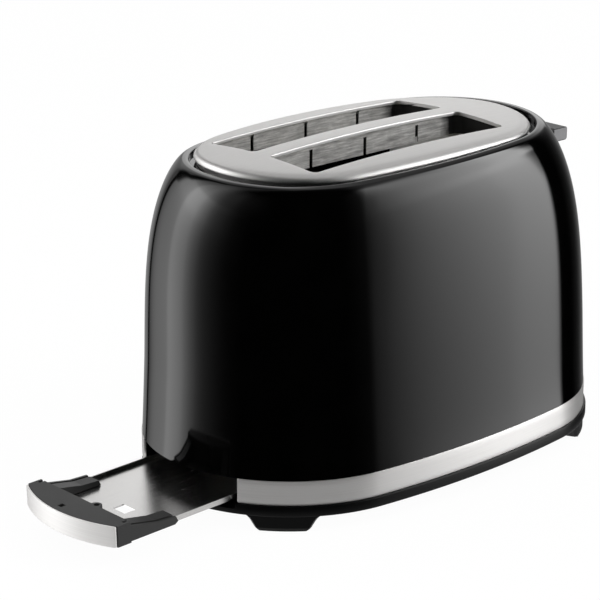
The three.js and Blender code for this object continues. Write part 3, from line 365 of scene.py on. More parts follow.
def galvanised():
    """Zinc-coated sheet with spangle and rolling streaks."""
    made, nodes, links, shader = material("galvanised_sheet")
    vector = place_texture(nodes, links)
    cells = nodes.new("ShaderNodeTexVoronoi")
    cells.inputs["Scale"].default_value = 170
    links.new(vector, cells.inputs["Vector"])
    streaks = noise(nodes, links, place_texture(nodes, links, (60, 60, 220)), 1.0, 5, 0.65)
    mix = nodes.new("ShaderNodeMix")
    mix.data_type = "RGBA"
    mix.inputs["Factor"].default_value = 0.55
    spangle = tint(nodes, links, cells.outputs["Distance"], (0.62, 0.62, 0.60), (0.80, 0.80, 0.78), 0.1, 0.6)
    rolled = tint(nodes, links, streaks, (0.46, 0.46, 0.44), (0.88, 0.88, 0.86), 0.36, 0.62)
    links.new(spangle, mix.inputs["A"])
    links.new(rolled, mix.inputs["B"])
    links.new(mix.outputs["Result"], shader.inputs["Base Color"])
    shader.inputs["Metallic"].default_value = 0.45
    links.new(spread(nodes, links, streaks, 0.34, 0.55), shader.inputs["Roughness"])
    bump(nodes, links, shader, streaks, 0.2, 0.00006)
    return made


# Where the painted shade on the liners at the lever end begins and is full, in millimetres from the body's
# middle. In metres: how ragged its edge is, and how far from the middle plane the liners' outer sides between
# the slots get painted shade
SHADE_START, SHADE_FULL = 50, 57
SHADE_RAGGED, DARK_WITHIN, BRIGHT_FROM = 0.012, 0.0044, 0.0047


def liner():
    """Rolled sheet with fine streaks, with painted shade at the lever end and on the side of the bridge."""
    made, nodes, links, shader = material("liner_sheet")
    n = Nodes(made.node_tree)
    where = nodes.new("ShaderNodeTexCoord")
    parts = nodes.new("ShaderNodeSeparateXYZ")
    links.new(where.outputs["Object"], parts.inputs[0])
    x, y, _ = parts.outputs
    streaks = noise(nodes, links, place_texture(nodes, links, (70, 70, 900)), 1.0, 6, 0.7)
    blots = noise(nodes, links, place_texture(nodes, links), 130, 4, 0.6)
    # Painted shade towards the lever end, with a ragged edge, standing in for the unlit inside there
    edge = n.plus(x, n.times(n.minus(blots, 0.5), SHADE_RAGGED))
    end_shade = spread(nodes, links, edge, 1.0, 0.02, (BODY_X + SHADE_START) * MM, (BODY_X + SHADE_FULL) * MM)
    # Painted shade on the liners' outer sides next to the bridge between the slots
    bridge_shade = spread(nodes, links, n.math("ABSOLUTE", y), 0.03, 1.0, DARK_WITHIN, BRIGHT_FROM)
    streaked = spread(nodes, links, streaks, 0.42, 0.98, 0.36, 0.64)
    blotted = spread(nodes, links, blots, 0.8, 1.0, 0.35, 0.6)
    level = n.times(end_shade, bridge_shade, streaked, blotted)
    links.new(tint(nodes, links, level, (0.002, 0.002, 0.002), (0.84, 0.83, 0.81), 0.0, 1.0),
              shader.inputs["Base Color"])
    shader.inputs["Metallic"].default_value = 0.5
    links.new(spread(nodes, links, streaks, 0.4, 0.6), shader.inputs["Roughness"])
    bump(nodes, links, shader, streaks, 0.3, 0.00006)
    return made


def plastic(name, colour, roughness, grain=900, depth=0.00004, shine=0.5):
    """Moulded plastic or the like, a little cloudy, with a fine grain."""
    made, nodes, links, shader = material(name)
    shader.inputs["Specular IOR Level"].default_value = shine
    vector = place_texture(nodes, links)
    cloud = noise(nodes, links, vector, 30, 3)
    low = tuple(channel * 0.88 for channel in colour)
    links.new(tint(nodes, links, cloud, low, colour), shader.inputs["Base Color"])
    links.new(spread(nodes, links, cloud, roughness * 0.92, roughness * 1.08), shader.inputs["Roughness"])
    bump(nodes, links, shader, noise(nodes, links, vector, grain, 2), 0.35, depth)
    return made


def plain_metal(name, colour, roughness):
    """Unbrushed metal, a little cloudy."""
    made, nodes, links, shader = material(name)
    vector = place_texture(nodes, links)
    cloud = noise(nodes, links, vector, 120, 4)
    low = tuple(channel * 0.85 for channel in colour)
    links.new(tint(nodes, links, cloud, low, colour), shader.inputs["Base Color"])
    shader.inputs["Metallic"].default_value = 1.0
    links.new(spread(nodes, links, cloud, roughness * 0.85, roughness * 1.2), shader.inputs["Roughness"])
    return made


# Looks by material slot; the liners and the knob's plates have their own
M = {
    "gloss_shell": enamel(),
    "brushed_panel": brushed("brushed_panel", (0.78, 0.77, 0.76), (18, 1400, 600), (0.44, 0.52), 0.35,
                             depth=0.000001),
    "brushed_band": brushed("brushed_band", (0.74, 0.73, 0.72), (14, 14, 2600), (0.36, 0.46), 0.6,
                            metallic=0.85),
    "brushed_face": brushed("brushed_face", (0.76, 0.75, 0.74), (14, 14, 2600), (0.45, 0.55), 0.6,
                            metallic=0.5),
    "bright_pan": brushed("bright_pan", (0.74, 0.73, 0.72), (30, 500, 500), (0.2, 0.28)),
    "galvanised_sheet": galvanised(),
    "liner_sheet": liner(),
    "bright_steel": plain_metal("bright_steel", (0.62, 0.62, 0.61), 0.25),
    "zinc_screw": plain_metal("zinc_screw", (0.55, 0.55, 0.52), 0.35),
    "black_base": plastic("black_base", (0.0012, 0.0013, 0.0014), 0.36, shine=0.2),
    "grey_tray_front": plastic("grey_tray_front", (0.021, 0.021, 0.021), 0.45, shine=0.4),
    "grey_knob": plastic("grey_knob", (0.024, 0.024, 0.025), 0.42, shine=0.35),
    "knob_plate": plastic("knob_plate", (0.21, 0.21, 0.215), 0.45),
    "black_rubber": plastic("black_rubber", (0.012, 0.012, 0.012), 0.75, 600, 0.0001),
    "mica_card": plastic("mica_card", (0.46, 0.39, 0.25), 0.6, 300, 0.0001),
    "board_laminate": plastic("board_laminate", (0.02, 0.11, 0.04), 0.4, 500, 0.00005),
    "copper_winding": plain_metal("copper_winding", (0.62, 0.26, 0.12), 0.35),
}


# ---------- carried-over CAD nodes ----------

# Width of soft edges in millimetres, and degrees: up to where faces count as flat, from where edges are soft
SOFT_EDGE, FLAT_WITHIN, EDGE_FROM = 0.35, 1.0, 40

slot_of = {row["node"]: row["material_slot"] for row in frame["record"]["subparts"]}
for node, obj in frame["nodes"].items():
    obj.data.materials.clear()
    obj.data.materials.append(M["liner_sheet" if node.startswith("throat_liner") else slot_of[node]])
    smooth(obj, 35)


def soften(node):
    """Small rounded edges on a CAD node, by modifiers only."""
    obj = frame["nodes"][node]
    flat = obj.modifiers.new("flat", "DECIMATE")
    flat.decimate_type, flat.angle_limit = "DISSOLVE", math.radians(FLAT_WITHIN)
    edge = obj.modifiers.new("edge", "BEVEL")
    edge.width, edge.segments, edge.limit_method = SOFT_EDGE * MM, 3, "ANGLE"
    edge.angle_limit, edge.harden_normals = math.radians(EDGE_FROM), True


for node in ("tray_front", "lever_knob", "button_cancel", "button_reheat", "button_defrost"):
    soften(node)


# ---------- shell ----------

# The shoulder: powers of its curve and of its lean, rings below it and up it, and how these crowd at its top
CURVE_FOOT, CURVE_TOP, LEAN_CURVE = 3.7, 0.725, 1.3
UPRIGHT_RINGS, SHOULDER_RINGS, SHOULDER_CROWD = 12, 74, 1.75
# The foot's flare: its width, the height over which it fades, and how much the corners lack
FLARE, FLARE_FADE, FLARE_LOSS = 0.9, 14, 0.75
# The lip: slope of its top and height of its inner edge, each with the part that only the near side has
LIP_SLOPE, NEAR_SLOPE, LIP_EDGE, NEAR_EDGE = 0.1, 0.26, 0.3, 0.78
# Bends at the shelf and the foot, how much thicker the wall gets towards the lip, and the console's hole
SHELF_BEND, FOOT_BEND, WALL_GROWTH = 0.3, 0.35, 1.6
CONSOLE_GAP, CUT_START, CUT_END = 0.3, 100, 160


def climb_at(height):
    """Share of the shoulder's height reached."""
    return float(np.clip((height - SHOULDER_START) / (LIP_HEIGHT - SHOULDER_START), 0, 1))


def share_at(height):
    """Share of the way in from the wall to the lip."""
    return 1 - (1 - climb_at(height) ** CURVE_FOOT) ** CURVE_TOP


def lip_lift():
    """How far the lip stands above its level at the middle of each side."""
    along = PANEL.points(ANGLES, -LIP_OUTER)[:, 0] - PANEL_SHIFT
    return LIP_RISE * np.cos(ANGLES) ** 2 + LIP_TILT * along


def shell_ring(height, depth=0.0):
    share = share_at(height)
    lean = PANEL_SHIFT * (climb_at(height) ** LEAN_CURVE - share)
    flare = FLARE * math.exp((BAND_TOP - height) / FLARE_FADE) * (1 - FLARE_LOSS * TUCK)
    wall = BODY.points(ANGLES, SHELL_INSET - flare + SHELL_TAPER * (height - BAND_TOP) + depth)
    lip = PANEL.points(ANGLES, depth - LIP_OUTER)
    return lift(wall * (1 - share) + lip * share + [lean, 0], height + share * lip_lift())


def lip_ring(outset, height, rise=1.0):
    return lift(PANEL.points(ANGLES, -outset), height + rise * lip_lift())


def near_side():
    """Share of the near side all round, faded out towards the tray's end."""
    facing = np.clip(-np.sin(ANGLES) * 1.6, 0, 1) ** 2
    return facing * np.clip((np.cos(ANGLES) + 0.75) / 0.5, 0, 1)


def smooth_rings(rings, first, last, rounds):
    """Eases the rings from first up to last towards their neighbours."""
    for _ in range(rounds):
        old = [ring.copy() for ring in rings]
        for i in range(first, last):
            rings[i] = (old[i - 1] + 2 * old[i] + old[i + 1]) / 4


def build_shell():
    upright = np.linspace(SHELL_FOOT, SHOULDER_START, UPRIGHT_RINGS, endpoint=False)
    climb = 1 - (1 - np.linspace(0, 1, SHOULDER_RINGS)[:-1]) ** SHOULDER_CROWD
    shoulder = SHOULDER_START + climb * (LIP_HEIGHT - SHOULDER_START)
    rings = [shell_ring(h) for h in np.concatenate([upright, shoulder])]
    first = len(rings) - 6
    near = near_side()
    slope = LIP_SLOPE + NEAR_SLOPE * near
    rings += [lip_ring(o, LIP_HEIGHT + slope * (LIP_OUTER - o)) for o in (8.3, 7.9, 7.5, 7.0, 6.5, 6.0)]
    smooth_rings(rings, first, len(rings) - 1, 4)
    rings += [lip_ring(o, LIP_HEIGHT + LIP_EDGE + NEAR_EDGE * near - down)
              for o, down in ((5.05, 0.03), (4.75, 0.14), (4.56, 0.34), (LIP_INNER, 0.6))]
    rings += [lip_ring(LIP_INNER, SHELF + SHELF_BEND, 0), lip_ring(LIP_INNER - SHELF_BEND, SHELF, 0)]
    rings += [lip_ring(SHELF_INNER, SHELF, 0), lip_ring(SHELF_INNER, SHELF - SHELL_WALL, 0)]
    rings += [lip_ring(LIP_INNER, SHELF - SHELL_WALL, 0)]
    for share in (0.9, 0.82, 0.74, 0.64, 0.52, 0.4, 0.25, 0.1):
        height = SHOULDER_START + share * (LIP_HEIGHT - SHOULDER_START)
        rings.append(shell_ring(height, SHELL_WALL * (1 + WALL_GROWTH * share_at(height))))
    rings += [shell_ring(SHOULDER_START, SHELL_WALL), shell_ring(SHELL_FOOT + FOOT_BEND, SHELL_WALL)]
    shell = new_object("shell_skin", *loft(rings, loop=True))
    width, height = 2 * CONSOLE_HALF, CONSOLE_TOP - CONSOLE_BOTTOM
    hole = rounded_loop(width + 2 * CONSOLE_GAP, height + 2 * CONSOLE_GAP, CONSOLE_CORNER + CONSOLE_GAP, 10)
    hole = hole + [0, (CONSOLE_TOP + CONSOLE_BOTTOM) / 2]
    combine(shell, [prism("cutter", hole, CUT_START, CUT_END, "x")], "DIFFERENCE")
    finish_piece(shell, "case", "gloss_shell", "outer_shell", sharp=40)


# ---------- top panel ----------

# The skin's edge: how far it rolls out and down, and the softer slope that starts before it on the near side
SKIN = Outline(PANEL_LENGTH - 4.4, PANEL_WIDTH - 1.6, PANEL_SIDE, PANEL_SHIFT - 0.6)
ROLL_OUT, ROLL_DROP, EDGE_SLOPE, EDGE_REACH = 3.2, 3.4, 0.24, 4.2
# The skin's thickness, and the insets of the rim it stands on
SHEET, RIM_INSIDE, RIM_OUTSIDE = 1.0, -0.4, -1.7
# Points inside the edge: distance between them, and how far they stay from the edge's slope and the slots
GRID, GRID_GAP = 5.0, 1.5
EDGE_INSETS = (1.0, 2.0, 3.0, EDGE_REACH)
COLLAR_SHEET = WIDEST_ROLL = 0.8
PANEL_GRAIN = 5


def dome(x, y):
    return TOP - (x - PANEL_SHIFT) ** 2 / (2 * DOME_LONG) - y ** 2 / (2 * DOME_CROSS)


# Slot outline with its outward directions and the radius its collar rolls in with, at each point
SLOT_PLAN = rounded_loop(SLOT_LENGTH, SLOT_WIDTH, SLOT_CORNER, 8, 4.0)
SLOT_CORE = np.array([SLOT_LENGTH, SLOT_WIDTH]) / 2 - SLOT_CORNER
SLOT_OUT = SLOT_PLAN - np.clip(SLOT_PLAN, -SLOT_CORE, SLOT_CORE)
SLOT_OUT /= np.linalg.norm(SLOT_OUT, axis=1)[:, None]
SLOT_ROLL = 0.5 + 0.3 * SLOT_OUT[:, 1] - 0.35 * np.maximum(SLOT_OUT[:, 0], 0)


def slot_loop(side, grow):
    loop = SLOT_PLAN + SLOT_OUT * np.broadcast_to(grow, len(SLOT_PLAN))[:, None]
    return loop + [SLOT_MIDDLE, side * SLOT_OFFSET]


def edge_fall(inset):
    """Extra drop of the dome over its last few millimetres, along the near side."""
    side = np.clip((0.2 - np.sin(ANGLES)) / 0.8, 0, 1)
    side = side * side * (3 - 2 * side)
    return side * EDGE_SLOPE * np.clip(EDGE_REACH - inset, 0, None) ** 2 / (2 * EDGE_REACH)


def edge_reach(edge):
    """Bearings of the edge's points from the panel's middle, in order, and their distances."""
    angle = np.arctan2(edge[:, 1], edge[:, 0] - PANEL_SHIFT)
    order = np.argsort(angle)
    return angle[order], np.hypot(edge[order, 0] - PANEL_SHIFT, edge[order, 1])


def inside_loop(point, loop):
    x, y = point
    a, b = loop, np.roll(loop, -1, 0)
    crosses = (a[:, 1] > y) != (b[:, 1] > y)
    with np.errstate(divide="ignore", invalid="ignore"):
        at = a[:, 0] + (y - a[:, 1]) * (b[:, 0] - a[:, 0]) / (b[:, 1] - a[:, 1])
    return int(np.sum(crosses & (x < at))) % 2 == 1


def turn_of(points):
    """Twice the area of a triangle, negative where it runs clockwise."""
    a, b, c = points[:3]
    return (b[0] - a[0]) * (c[1] - a[1]) - (b[1] - a[1]) * (c[0] - a[0])


def near_slot(x, y, side, margin):
    """Whether a point lies in the box round a slot and its roll, with a margin."""
    return (abs(x - SLOT_MIDDLE) < SLOT_LENGTH / 2 + WIDEST_ROLL + margin
            and abs(y - side * SLOT_OFFSET) < SLOT_WIDTH / 2 + WIDEST_ROLL + margin)


def panel_points(edge):
    """Plan points of the skin's top with the extra drop of each, the loops of its three edges first."""
    bearings, distances = edge_reach(edge)

    def free(x, y):
        """Whether a point lies inside the edge and clear of both slots."""
        reach = np.interp(math.atan2(y, x - PANEL_SHIFT), bearings, distances)
        in_slot = any(near_slot(x, y, side, GRID_GAP) for side in (-1, 1))
        return np.hypot(x - PANEL_SHIFT, y) < reach and not in_slot

    rows = list(zip(edge.tolist(), edge_fall(0.0)))
    rows += [(point, 0.0) for side in (-1, 1) for point in slot_loop(side, SLOT_ROLL).tolist()]
    for inset in EDGE_INSETS:
        ring = zip(SKIN.points(ANGLES, inset).tolist(), edge_fall(inset))
        rows += [(point, fall) for point, fall in ring if free(*point)]
    for x in np.arange(-105, 100, GRID):
        for y in np.arange(-55, 56, GRID):
            from_edge = np.min(np.hypot(edge[:, 0] - x, edge[:, 1] - y))
            if free(x, y) and from_edge - EDGE_REACH > GRID_GAP:
                rows.append(((x, y), 0.0))
    points, falls = zip(*rows)
    return points, np.array(falls)


def panel_top(edge):
    """Vertices and triangles of the skin's top, open at both slots."""
    points, falls = panel_points(edge)
    borders, start = [], 0
    for count in (len(edge), len(SLOT_PLAN), len(SLOT_PLAN)):
        borders += [(start + i, start + (i + 1) % count) for i in range(count)]
        start += count
    plan, _, triangles, _, _, _ = delaunay_2d_cdt([Vector(p) for p in points], borders, [], 0, 1e-5)
    assert len(plan) == len(points)
    plan = np.array([tuple(p) for p in plan])
    verts = np.column_stack([plan, dome(plan[:, 0], plan[:, 1]) - falls]).tolist()
    faces = []
    for triangle in triangles:
        x, y = plan[list(triangle)].mean(0)
        in_slot = any(near_slot(x, y, side, 0) and inside_loop((x, y), slot_loop(side, SLOT_ROLL))
                      for side in (-1, 1))
        if not in_slot and inside_loop((x, y), edge):
            faces.append(tuple(triangle))
    return verts, [f if turn_of(plan[list(f)]) > 0 else f[::-1] for f in faces]


def edge_rings(edge):
    """Rings of the rolled edge, from the skin's crease out, down, under and back up inside."""
    fall = edge_fall(0.0)
    crease = dome(edge[:, 0], edge[:, 1]) - fall
    begin = np.arctan(fall * 2 / EDGE_REACH) * ROLL_OUT / ROLL_DROP
    drop = ROLL_DROP - fall - np.clip(edge[:, 0] / 100, 0, 1) * np.clip(-np.sin(ANGLES), 0, 1)
    rings = []
    for share in (0.17, 0.34, 0.5, 0.67, 0.84, 1.0):
        turn = begin + (math.pi / 2 - begin) * share
        out = ROLL_OUT * (np.sin(turn) - np.sin(begin)) / (1 - np.sin(begin))
        rings.append(lift(SKIN.points(ANGLES, -out), crease - drop * (1 - np.cos(turn) / np.cos(begin))))
    for out, down in ((3.1, 0.25), (2.85, 0.4), (2.0, 0.42)):
        rings.append(lift(SKIN.points(ANGLES, -out), crease - drop - down))
    inner = SKIN.points(ANGLES, RIM_INSIDE)
    rings += [lift(SKIN.points(ANGLES, RIM_OUTSIDE), RIM_BOTTOM), lift(inner, RIM_BOTTOM)]
    return rings + [lift(inner, crease - 2 * SHEET), lift(SKIN.points(ANGLES, 0.0), crease - SHEET)]


def collar_rings(side):
    """Rings of a slot's folded collar, from the dome in, down and back up inside the sheet."""
    rings = []
    for turn in np.radians([12, 25, 40, 55, 70, 82, 90]):
        loop = slot_loop(side, SLOT_ROLL * (1 - math.sin(turn)))
        rings.append(lift(loop, dome(loop[:, 0], loop[:, 1]) - SLOT_ROLL * (1 - math.cos(turn))))
    wall, back = slot_loop(side, 0.0), slot_loop(side, COLLAR_SHEET)
    level = dome(wall[:, 0], wall[:, 1])
    rings += [lift(wall, level - down) for down in (1.2, 1.7, 2.0)]
    return rings + [lift((wall + back) / 2, level - 2.2), lift(back, level - 2.0), lift(back, level - SHEET)]


def build_panel():
    edge = SKIN.points(ANGLES)
    verts, faces = panel_top(edge)
    top = len(verts)
    faces += [(a + top, c + top, b + top) for a, b, c in faces]
    verts += [[x, y, z - SHEET] for x, y, z in verts]

    def strip(start, rings, inward):
        """Adds rings that carry on from the loop whose vertices begin at start."""
        count = len(rings[0])
        previous = list(range(start, start + count))
        for ring in rings:
            here = list(range(len(verts), len(verts) + count))
            verts.extend(ring.tolist())
            for i in range(count):
                j = (i + 1) % count
                quad = (previous[i], previous[j], here[j], here[i])
                faces.append(quad if inward else quad[::-1])
            previous = here

    strip(0, edge_rings(edge), False)
    strip(len(edge), collar_rings(-1), True)
    strip(len(edge) + len(SLOT_PLAN), collar_rings(1), True)
    panel = new_object("top_panel_skin", verts, faces)
    add_grain(panel, lambda _, co: (co.x * PANEL_GRAIN, co.y * PANEL_GRAIN + co.z * PANEL_GRAIN))
    finish_piece(panel, "case", "brushed_panel", "top_panel", sharp=50)


# ---------- band ----------

# Thickness, radius of the folded edges, pull inwards, loss of the back's height, and corners by the mouth
BAND_SHEET, BAND_EDGE, BAND_TUCK, BAND_BACK = 1.0, 0.2, 0.8, 0.1
LOW_CORNER, HIGH_CORNER = 1.1, 0.5
# Distances of the first points from each end of the strip, and how many follow between
END_STEPS, END_LENGTH, BAND_POINTS = (0, 0.08, 0.2, 0.35, 0.5, 0.8, 1.1), 3, 300
BAND_GRAIN = 10


def build_band():
    """Open strip with a folded edge, round at the corners beside the tray's mouth."""
    end = math.asin(BAND_MOUTH / BODY.end)
    between = [-math.pi + end + END_LENGTH / BODY.end, math.pi - end - END_LENGTH / BODY.end]
    angles = np.concatenate([
        [-math.pi + end + d / BODY.end for d in END_STEPS],
        np.linspace(*between, BAND_POINTS),
        [math.pi - end - d / BODY.end for d in END_STEPS[::-1]],
    ])
    from_end = np.minimum(angles + math.pi - end, math.pi - end - angles) * BODY.end

    def corner_cut(corner):
        inward = np.clip(corner - from_end, 0, corner)
        return corner - np.sqrt(corner ** 2 - inward ** 2)

    low, high = BAND_BOTTOM + corner_cut(LOW_CORNER), BAND_TOP - corner_cut(HIGH_CORNER)
    edge = [(BAND_EDGE - BAND_EDGE * math.sin(turn), BAND_EDGE - BAND_EDGE * math.cos(turn))
            for turn in np.radians([0, 30, 60, 90])]
    rows = [(inset, low + rise) for inset, rise in edge]
    rows += [(0.0, low + (high - low) * share) for share in (0.25, 0.5, 0.75)]
    rows += [(inset, high - rise) for inset, rise in edge[::-1]]
    rows += [(BAND_SHEET, high - BAND_BACK), (BAND_SHEET, low + BAND_BACK)]
    rings = [lift(BODY.points(angles, inset + BAND_TUCK * tuck(angles)), height) for inset, height in rows]
    count, length = len(rings), len(angles)
    faces = []
    for i in range(count):
        a, b = i * length, ((i + 1) % count) * length
        faces += [(a + j, a + j + 1, b + j + 1, b + j) for j in range(length - 1)]
    faces.append([i * length for i in range(count)])
    faces.append([i * length + length - 1 for i in range(count)][::-1])
    band = new_object("trim_band_skin", np.concatenate(rings), faces)
    along = np.concatenate([[0], np.cumsum(np.hypot(*np.diff(BODY.points(angles), axis=0).T))])
    add_grain(band, lambda vertex, co: (along[vertex % length] / 100, co.z * BAND_GRAIN))
    finish_piece(band, "case", "brushed_band", "trim_band", sharp=45)


# ---------- base ----------

# The skirt, the ledge behind the band and the inside down to the floor, as (inset, height)
BASE_TUCK, BASE_LEDGE, BASE_INSIDE = 0.5, 1.3, 4.3
BASE_PROFILE = ((6, 8.8), (-0.9, 8.8), (-1.1, 8.88), (-1.25, 9.1), (-1.3, 9.4), (-1.25, 13.9), (-1.1, 14.3),
                (-0.8, 14.6), (BASE_LEDGE, 14.6), (BASE_LEDGE, BAND_TOP), (BASE_INSIDE, BAND_TOP),
                (BASE_INSIDE, FLOOR_TOP))
# The corner on the far side of the tray's end is drawn in a little
FAR_CORNER = 1.7
MOUTH_HEIGHT, MOUTH_CORNER, MOUTH_START, MOUTH_STOP = 30, 1.2, -160, -60
RUNNER_IN, RUNNER_OUT, RUNNER_START, UNDER_TRAY = 14, 25, 24.5, 5.0
RAIL_IN, RAIL_OUT, RAIL_START = 39, 40.6, -131.0
SUNK, RAISED_TOP = 10, 20.5


def build_base():
    beside = np.clip((-np.cos(ANGLES) - 0.5) / 0.2, 0, 1) * np.clip(2 * np.sin(ANGLES), 0, 1)
    rings = [lift(BODY.points(ANGLES, inset + BASE_TUCK * TUCK + FAR_CORNER * beside), height)
             for inset, height in BASE_PROFILE]
    base = new_object("base_moulding", *loft(rings, caps=(True, True)))
    mouth = rounded_loop(2 * MOUTH, MOUTH_HEIGHT, MOUTH_CORNER, 5) + [0, FLOOR_TOP + MOUTH_HEIGHT / 2]
    mouths = [prism("cutter", mouth, MOUTH_START, MOUTH_STOP, "x")]
    start, stop = RUNNER_START - BODY_END, PAN_END
    top = [TRAY_HEIGHT + (x + BODY_END) * math.tan(TRAY_TILT) - UNDER_TRAY for x in (start, stop)]
    profile = np.array([(start, SUNK), (stop, SUNK), (stop, top[1]), (start, top[0])])
    joined = []
    for side in (-1, 1):
        joined.append(prism("runner", profile, *sorted((side * RUNNER_IN, side * RUNNER_OUT)), "y"))
        rail = sorted((side * RAIL_IN, side * RAIL_OUT))
        joined.append(box_piece("rail", (RAIL_START, PAN_END), rail, (SUNK, RAISED_TOP)))
    screws = [(x, y) for x in (-SCREW_X, SCREW_X) for y in (-SCREW_Y, SCREW_Y)]
    joined += [prism("boss", rounded_loop(8.4, 8.4, 4.19, 6) + spot, SUNK, RAISED_TOP) for spot in screws]
    holes = [prism("cutter", rounded_loop(7.4, 7.4, 3.69, 6) + spot, 0, 11.7) for spot in screws]
    holes.append(prism("cutter", rounded_loop(13.6, 13.6, 6.79, 8) + (INLET_X, INLET_Y), 0, 14))
    combine(base, mouths, "DIFFERENCE")
    combine(base, joined, "UNION")
    combine(base, holes, "DIFFERENCE")
    finish_piece(base, "case", "black_base", "base")


# ---------- feet ----------

# Bearing of a foot's middle at the tray's end and at the lever end, radius of its corners, and how its depth
# grows with height
FOOT_FRONT, FOOT_REAR, FOOT_CORNER, FOOT_SPREAD = 45, 55, 1.4, 0.55
# Height and half width in degrees up the foot, and height, half width and inset up its sole
FOOT_PROFILE = ((PAD, 10.7), (2.8, 11.1), (3.8, 11.6), (5.5, 12.3), (6.5, 12.9), (7.4, 13.6), (8.1, 14.5),
                (8.6, 15.3), (9.0, 16.5))
SOLE_PROFILE = ((0.0, 9.0, 0.5), (0.1, 9.3, 0.2), (0.5, 9.8, 0.0), (1.0, 10.2, 0.0), (PAD, 10.7, 0.0))
FEET = (("front_near", -1, -1), ("front_far", -1, 1), ("rear_near", 1, -1), ("rear_far", 1, 1))


def foot_ring(along, across, half, height, inset, depth):
    """Plan of a foot with rounded outer corners, at a height."""
    middle = FOOT_FRONT if along < 0 else FOOT_REAR
    turns = np.linspace(-1, 1, 25)
    from_side = (1 - np.abs(turns)) * math.radians(half) * (BODY.end - inset)
    inward = np.clip(FOOT_CORNER - from_side, 0, FOOT_CORNER)
    insets = inset + FOOT_CORNER - np.sqrt(FOOT_CORNER ** 2 - inward ** 2)

    def place(turn, amount):
        angle = math.radians(middle + half * turn)
        angle = math.atan2(across * math.sin(angle), along * math.cos(angle))
        return BODY.points(np.array([angle]), amount)[0]

    outer = [place(turn, amount) for turn, amount in zip(turns, insets)]
    inner = [place(turn, depth) for turn in turns[::-4]]
    loop = outer + inner
    return lift(np.array(loop if along * across > 0 else loop[::-1]), height)


def build_feet():
    for name, along, across in FEET:
        rings = [foot_ring(along, across, half, z, FOOT_INSET, FOOT_DEPTH + FOOT_SPREAD * (z - PAD))
                 for z, half in FOOT_PROFILE]
        foot = new_object("foot_moulding_" + name, *loft(rings, caps=(True, True)))
        finish_piece(foot, "case", "black_base", "foot_" + name)
        rings = [foot_ring(along, across, half, z, FOOT_INSET + inset, FOOT_DEPTH)
                 for z, half, inset in SOLE_PROFILE]
        pad = new_object("foot_sole_" + name, *loft(rings, caps=(True, True)))
        finish_piece(pad, "case", "black_rubber", "foot_pad_" + name)


# ---------- tray face ----------

# Inset and depth of the plate's rings, from the back round the edge to the front
FACE_ROWS = ((0.5, FACE_SHEET), (0.0, 0.95), (0.0, 0.45), (0.07, 0.22), (0.2, 0.07), (0.42, 0.0))
FACE_SPACING, FACE_GRAIN = 1.5, 10


def tray_matrix():
    """From the tray's own frame to the row frame, in millimetres."""
    x = BODY_X - BODY_LENGTH / 2 - TRAY_PULL * math.cos(TRAY_TILT)
    z = TRAY_HEIGHT - TRAY_PULL * math.sin(TRAY_TILT)
    return Matrix.Translation((x, 0, z)) @ Matrix.Rotation(-TRAY_TILT, 4, "Y")


def build_face():
    """Curved plate with rounded corners and a soft edge all round."""
    half, tall = FACE_HALF, FACE_HEIGHT / 2
    matrix = tray_matrix()

    def bend(points, depth):
        """Places flat points on the body's round end, at a depth in the sheet."""
        out = []
        for y, z in points:
            arc = BODY.end - depth
            x = BODY.end - math.sqrt(max(arc ** 2 - y ** 2, 0))
            out.append(matrix @ Vector((x, y, z)))
        return np.array([tuple(p) for p in out])

    def shrunk(amount):
        return rounded_loop(2 * (half - amount), 2 * (tall - amount), FACE_CORNER - amount, 8, FACE_SPACING)

    outline = shrunk(0)
    count = len(outline)

    def matched(amount):
        """Smaller outline with as many points as the full one."""
        loop = shrunk(amount)
        if len(loop) == count:
            return loop
        return outline * np.array([(half - amount) / half, (tall - amount) / tall])

    rings = [bend(matched(inset), depth) for inset, depth in FACE_ROWS]
    verts = list(np.concatenate(rings))
    faces = []
    for i in range(len(rings) - 1):
        for j in range(count):
            k = (j + 1) % count
            faces.append(((i + 1) * count + j, (i + 1) * count + k, i * count + k, i * count + j))
    cells = [(y, z) for y in np.arange(-36, 36.1, 2.0) for z in (-3.6, -1.2, 1.2, 3.6)]
    cells = [cell for cell in cells if abs(cell[0]) < half - 1.5]
    borders = [(i, (i + 1) % count) for i in range(count)]
    for index, depth in ((len(rings) - 1, 0.0), (0, FACE_SHEET)):
        loop = matched(FACE_ROWS[index][0]).tolist()
        plan, _, triangles, _, _, _ = delaunay_2d_cdt([Vector(p) for p in loop + cells], borders, [], 1, 1e-5)
        start = len(verts)
        verts += list(bend([tuple(p) for p in plan[count:]], depth))
        for triangle in triangles:
            corner = [index * count + v if v < count else start + v - count for v in triangle]
            faces.append(corner if index == 0 else corner[::-1])
    face = new_object("tray_face_plate", verts, faces, shift=False)
    add_grain(face, lambda _, co: (co.y * FACE_GRAIN, co.z * FACE_GRAIN))
    finish_piece(face, "crumb_tray", "brushed_face", "tray_face", sharp=50)


# ---------- knob plates ----------

# Ranges across, along and up
PLATE_DEPTH, PLATE_LENGTH, PLATE_HEIGHT = (10.8, 11.2), (140.0, 151.0), (158.0, 165.0)


def build_knob_plates():
    """Light plates let into both ends of the lever knob."""
    for name, side in (("near", -1), ("far", 1)):
        y = sorted(side * depth for depth in PLATE_DEPTH)
        plate = box_piece("knob_plate_" + name, PLATE_LENGTH, y, PLATE_HEIGHT)
        finish_piece(plate, "bread_carriage", "grey_knob", look="knob_plate")


build_knob_plates()
build_shell()
build_panel()
build_band()
build_base()
build_feet()
build_face()


# ---------- camera ----------

# Fitted to the photo: degrees, millimetres, and the focal length in pixels of a square picture
AZIMUTH, ELEVATION = math.radians(-42.48), math.radians(18.33)
AIM_HEIGHT, DISTANCE, MOVE_RIGHT, MOVE_UP = 95, 1317.77, -39.61, -6.82
FOCAL_LENGTH, PICTURE_WIDTH, SENSOR_WIDTH = 2330.65, 600, 36

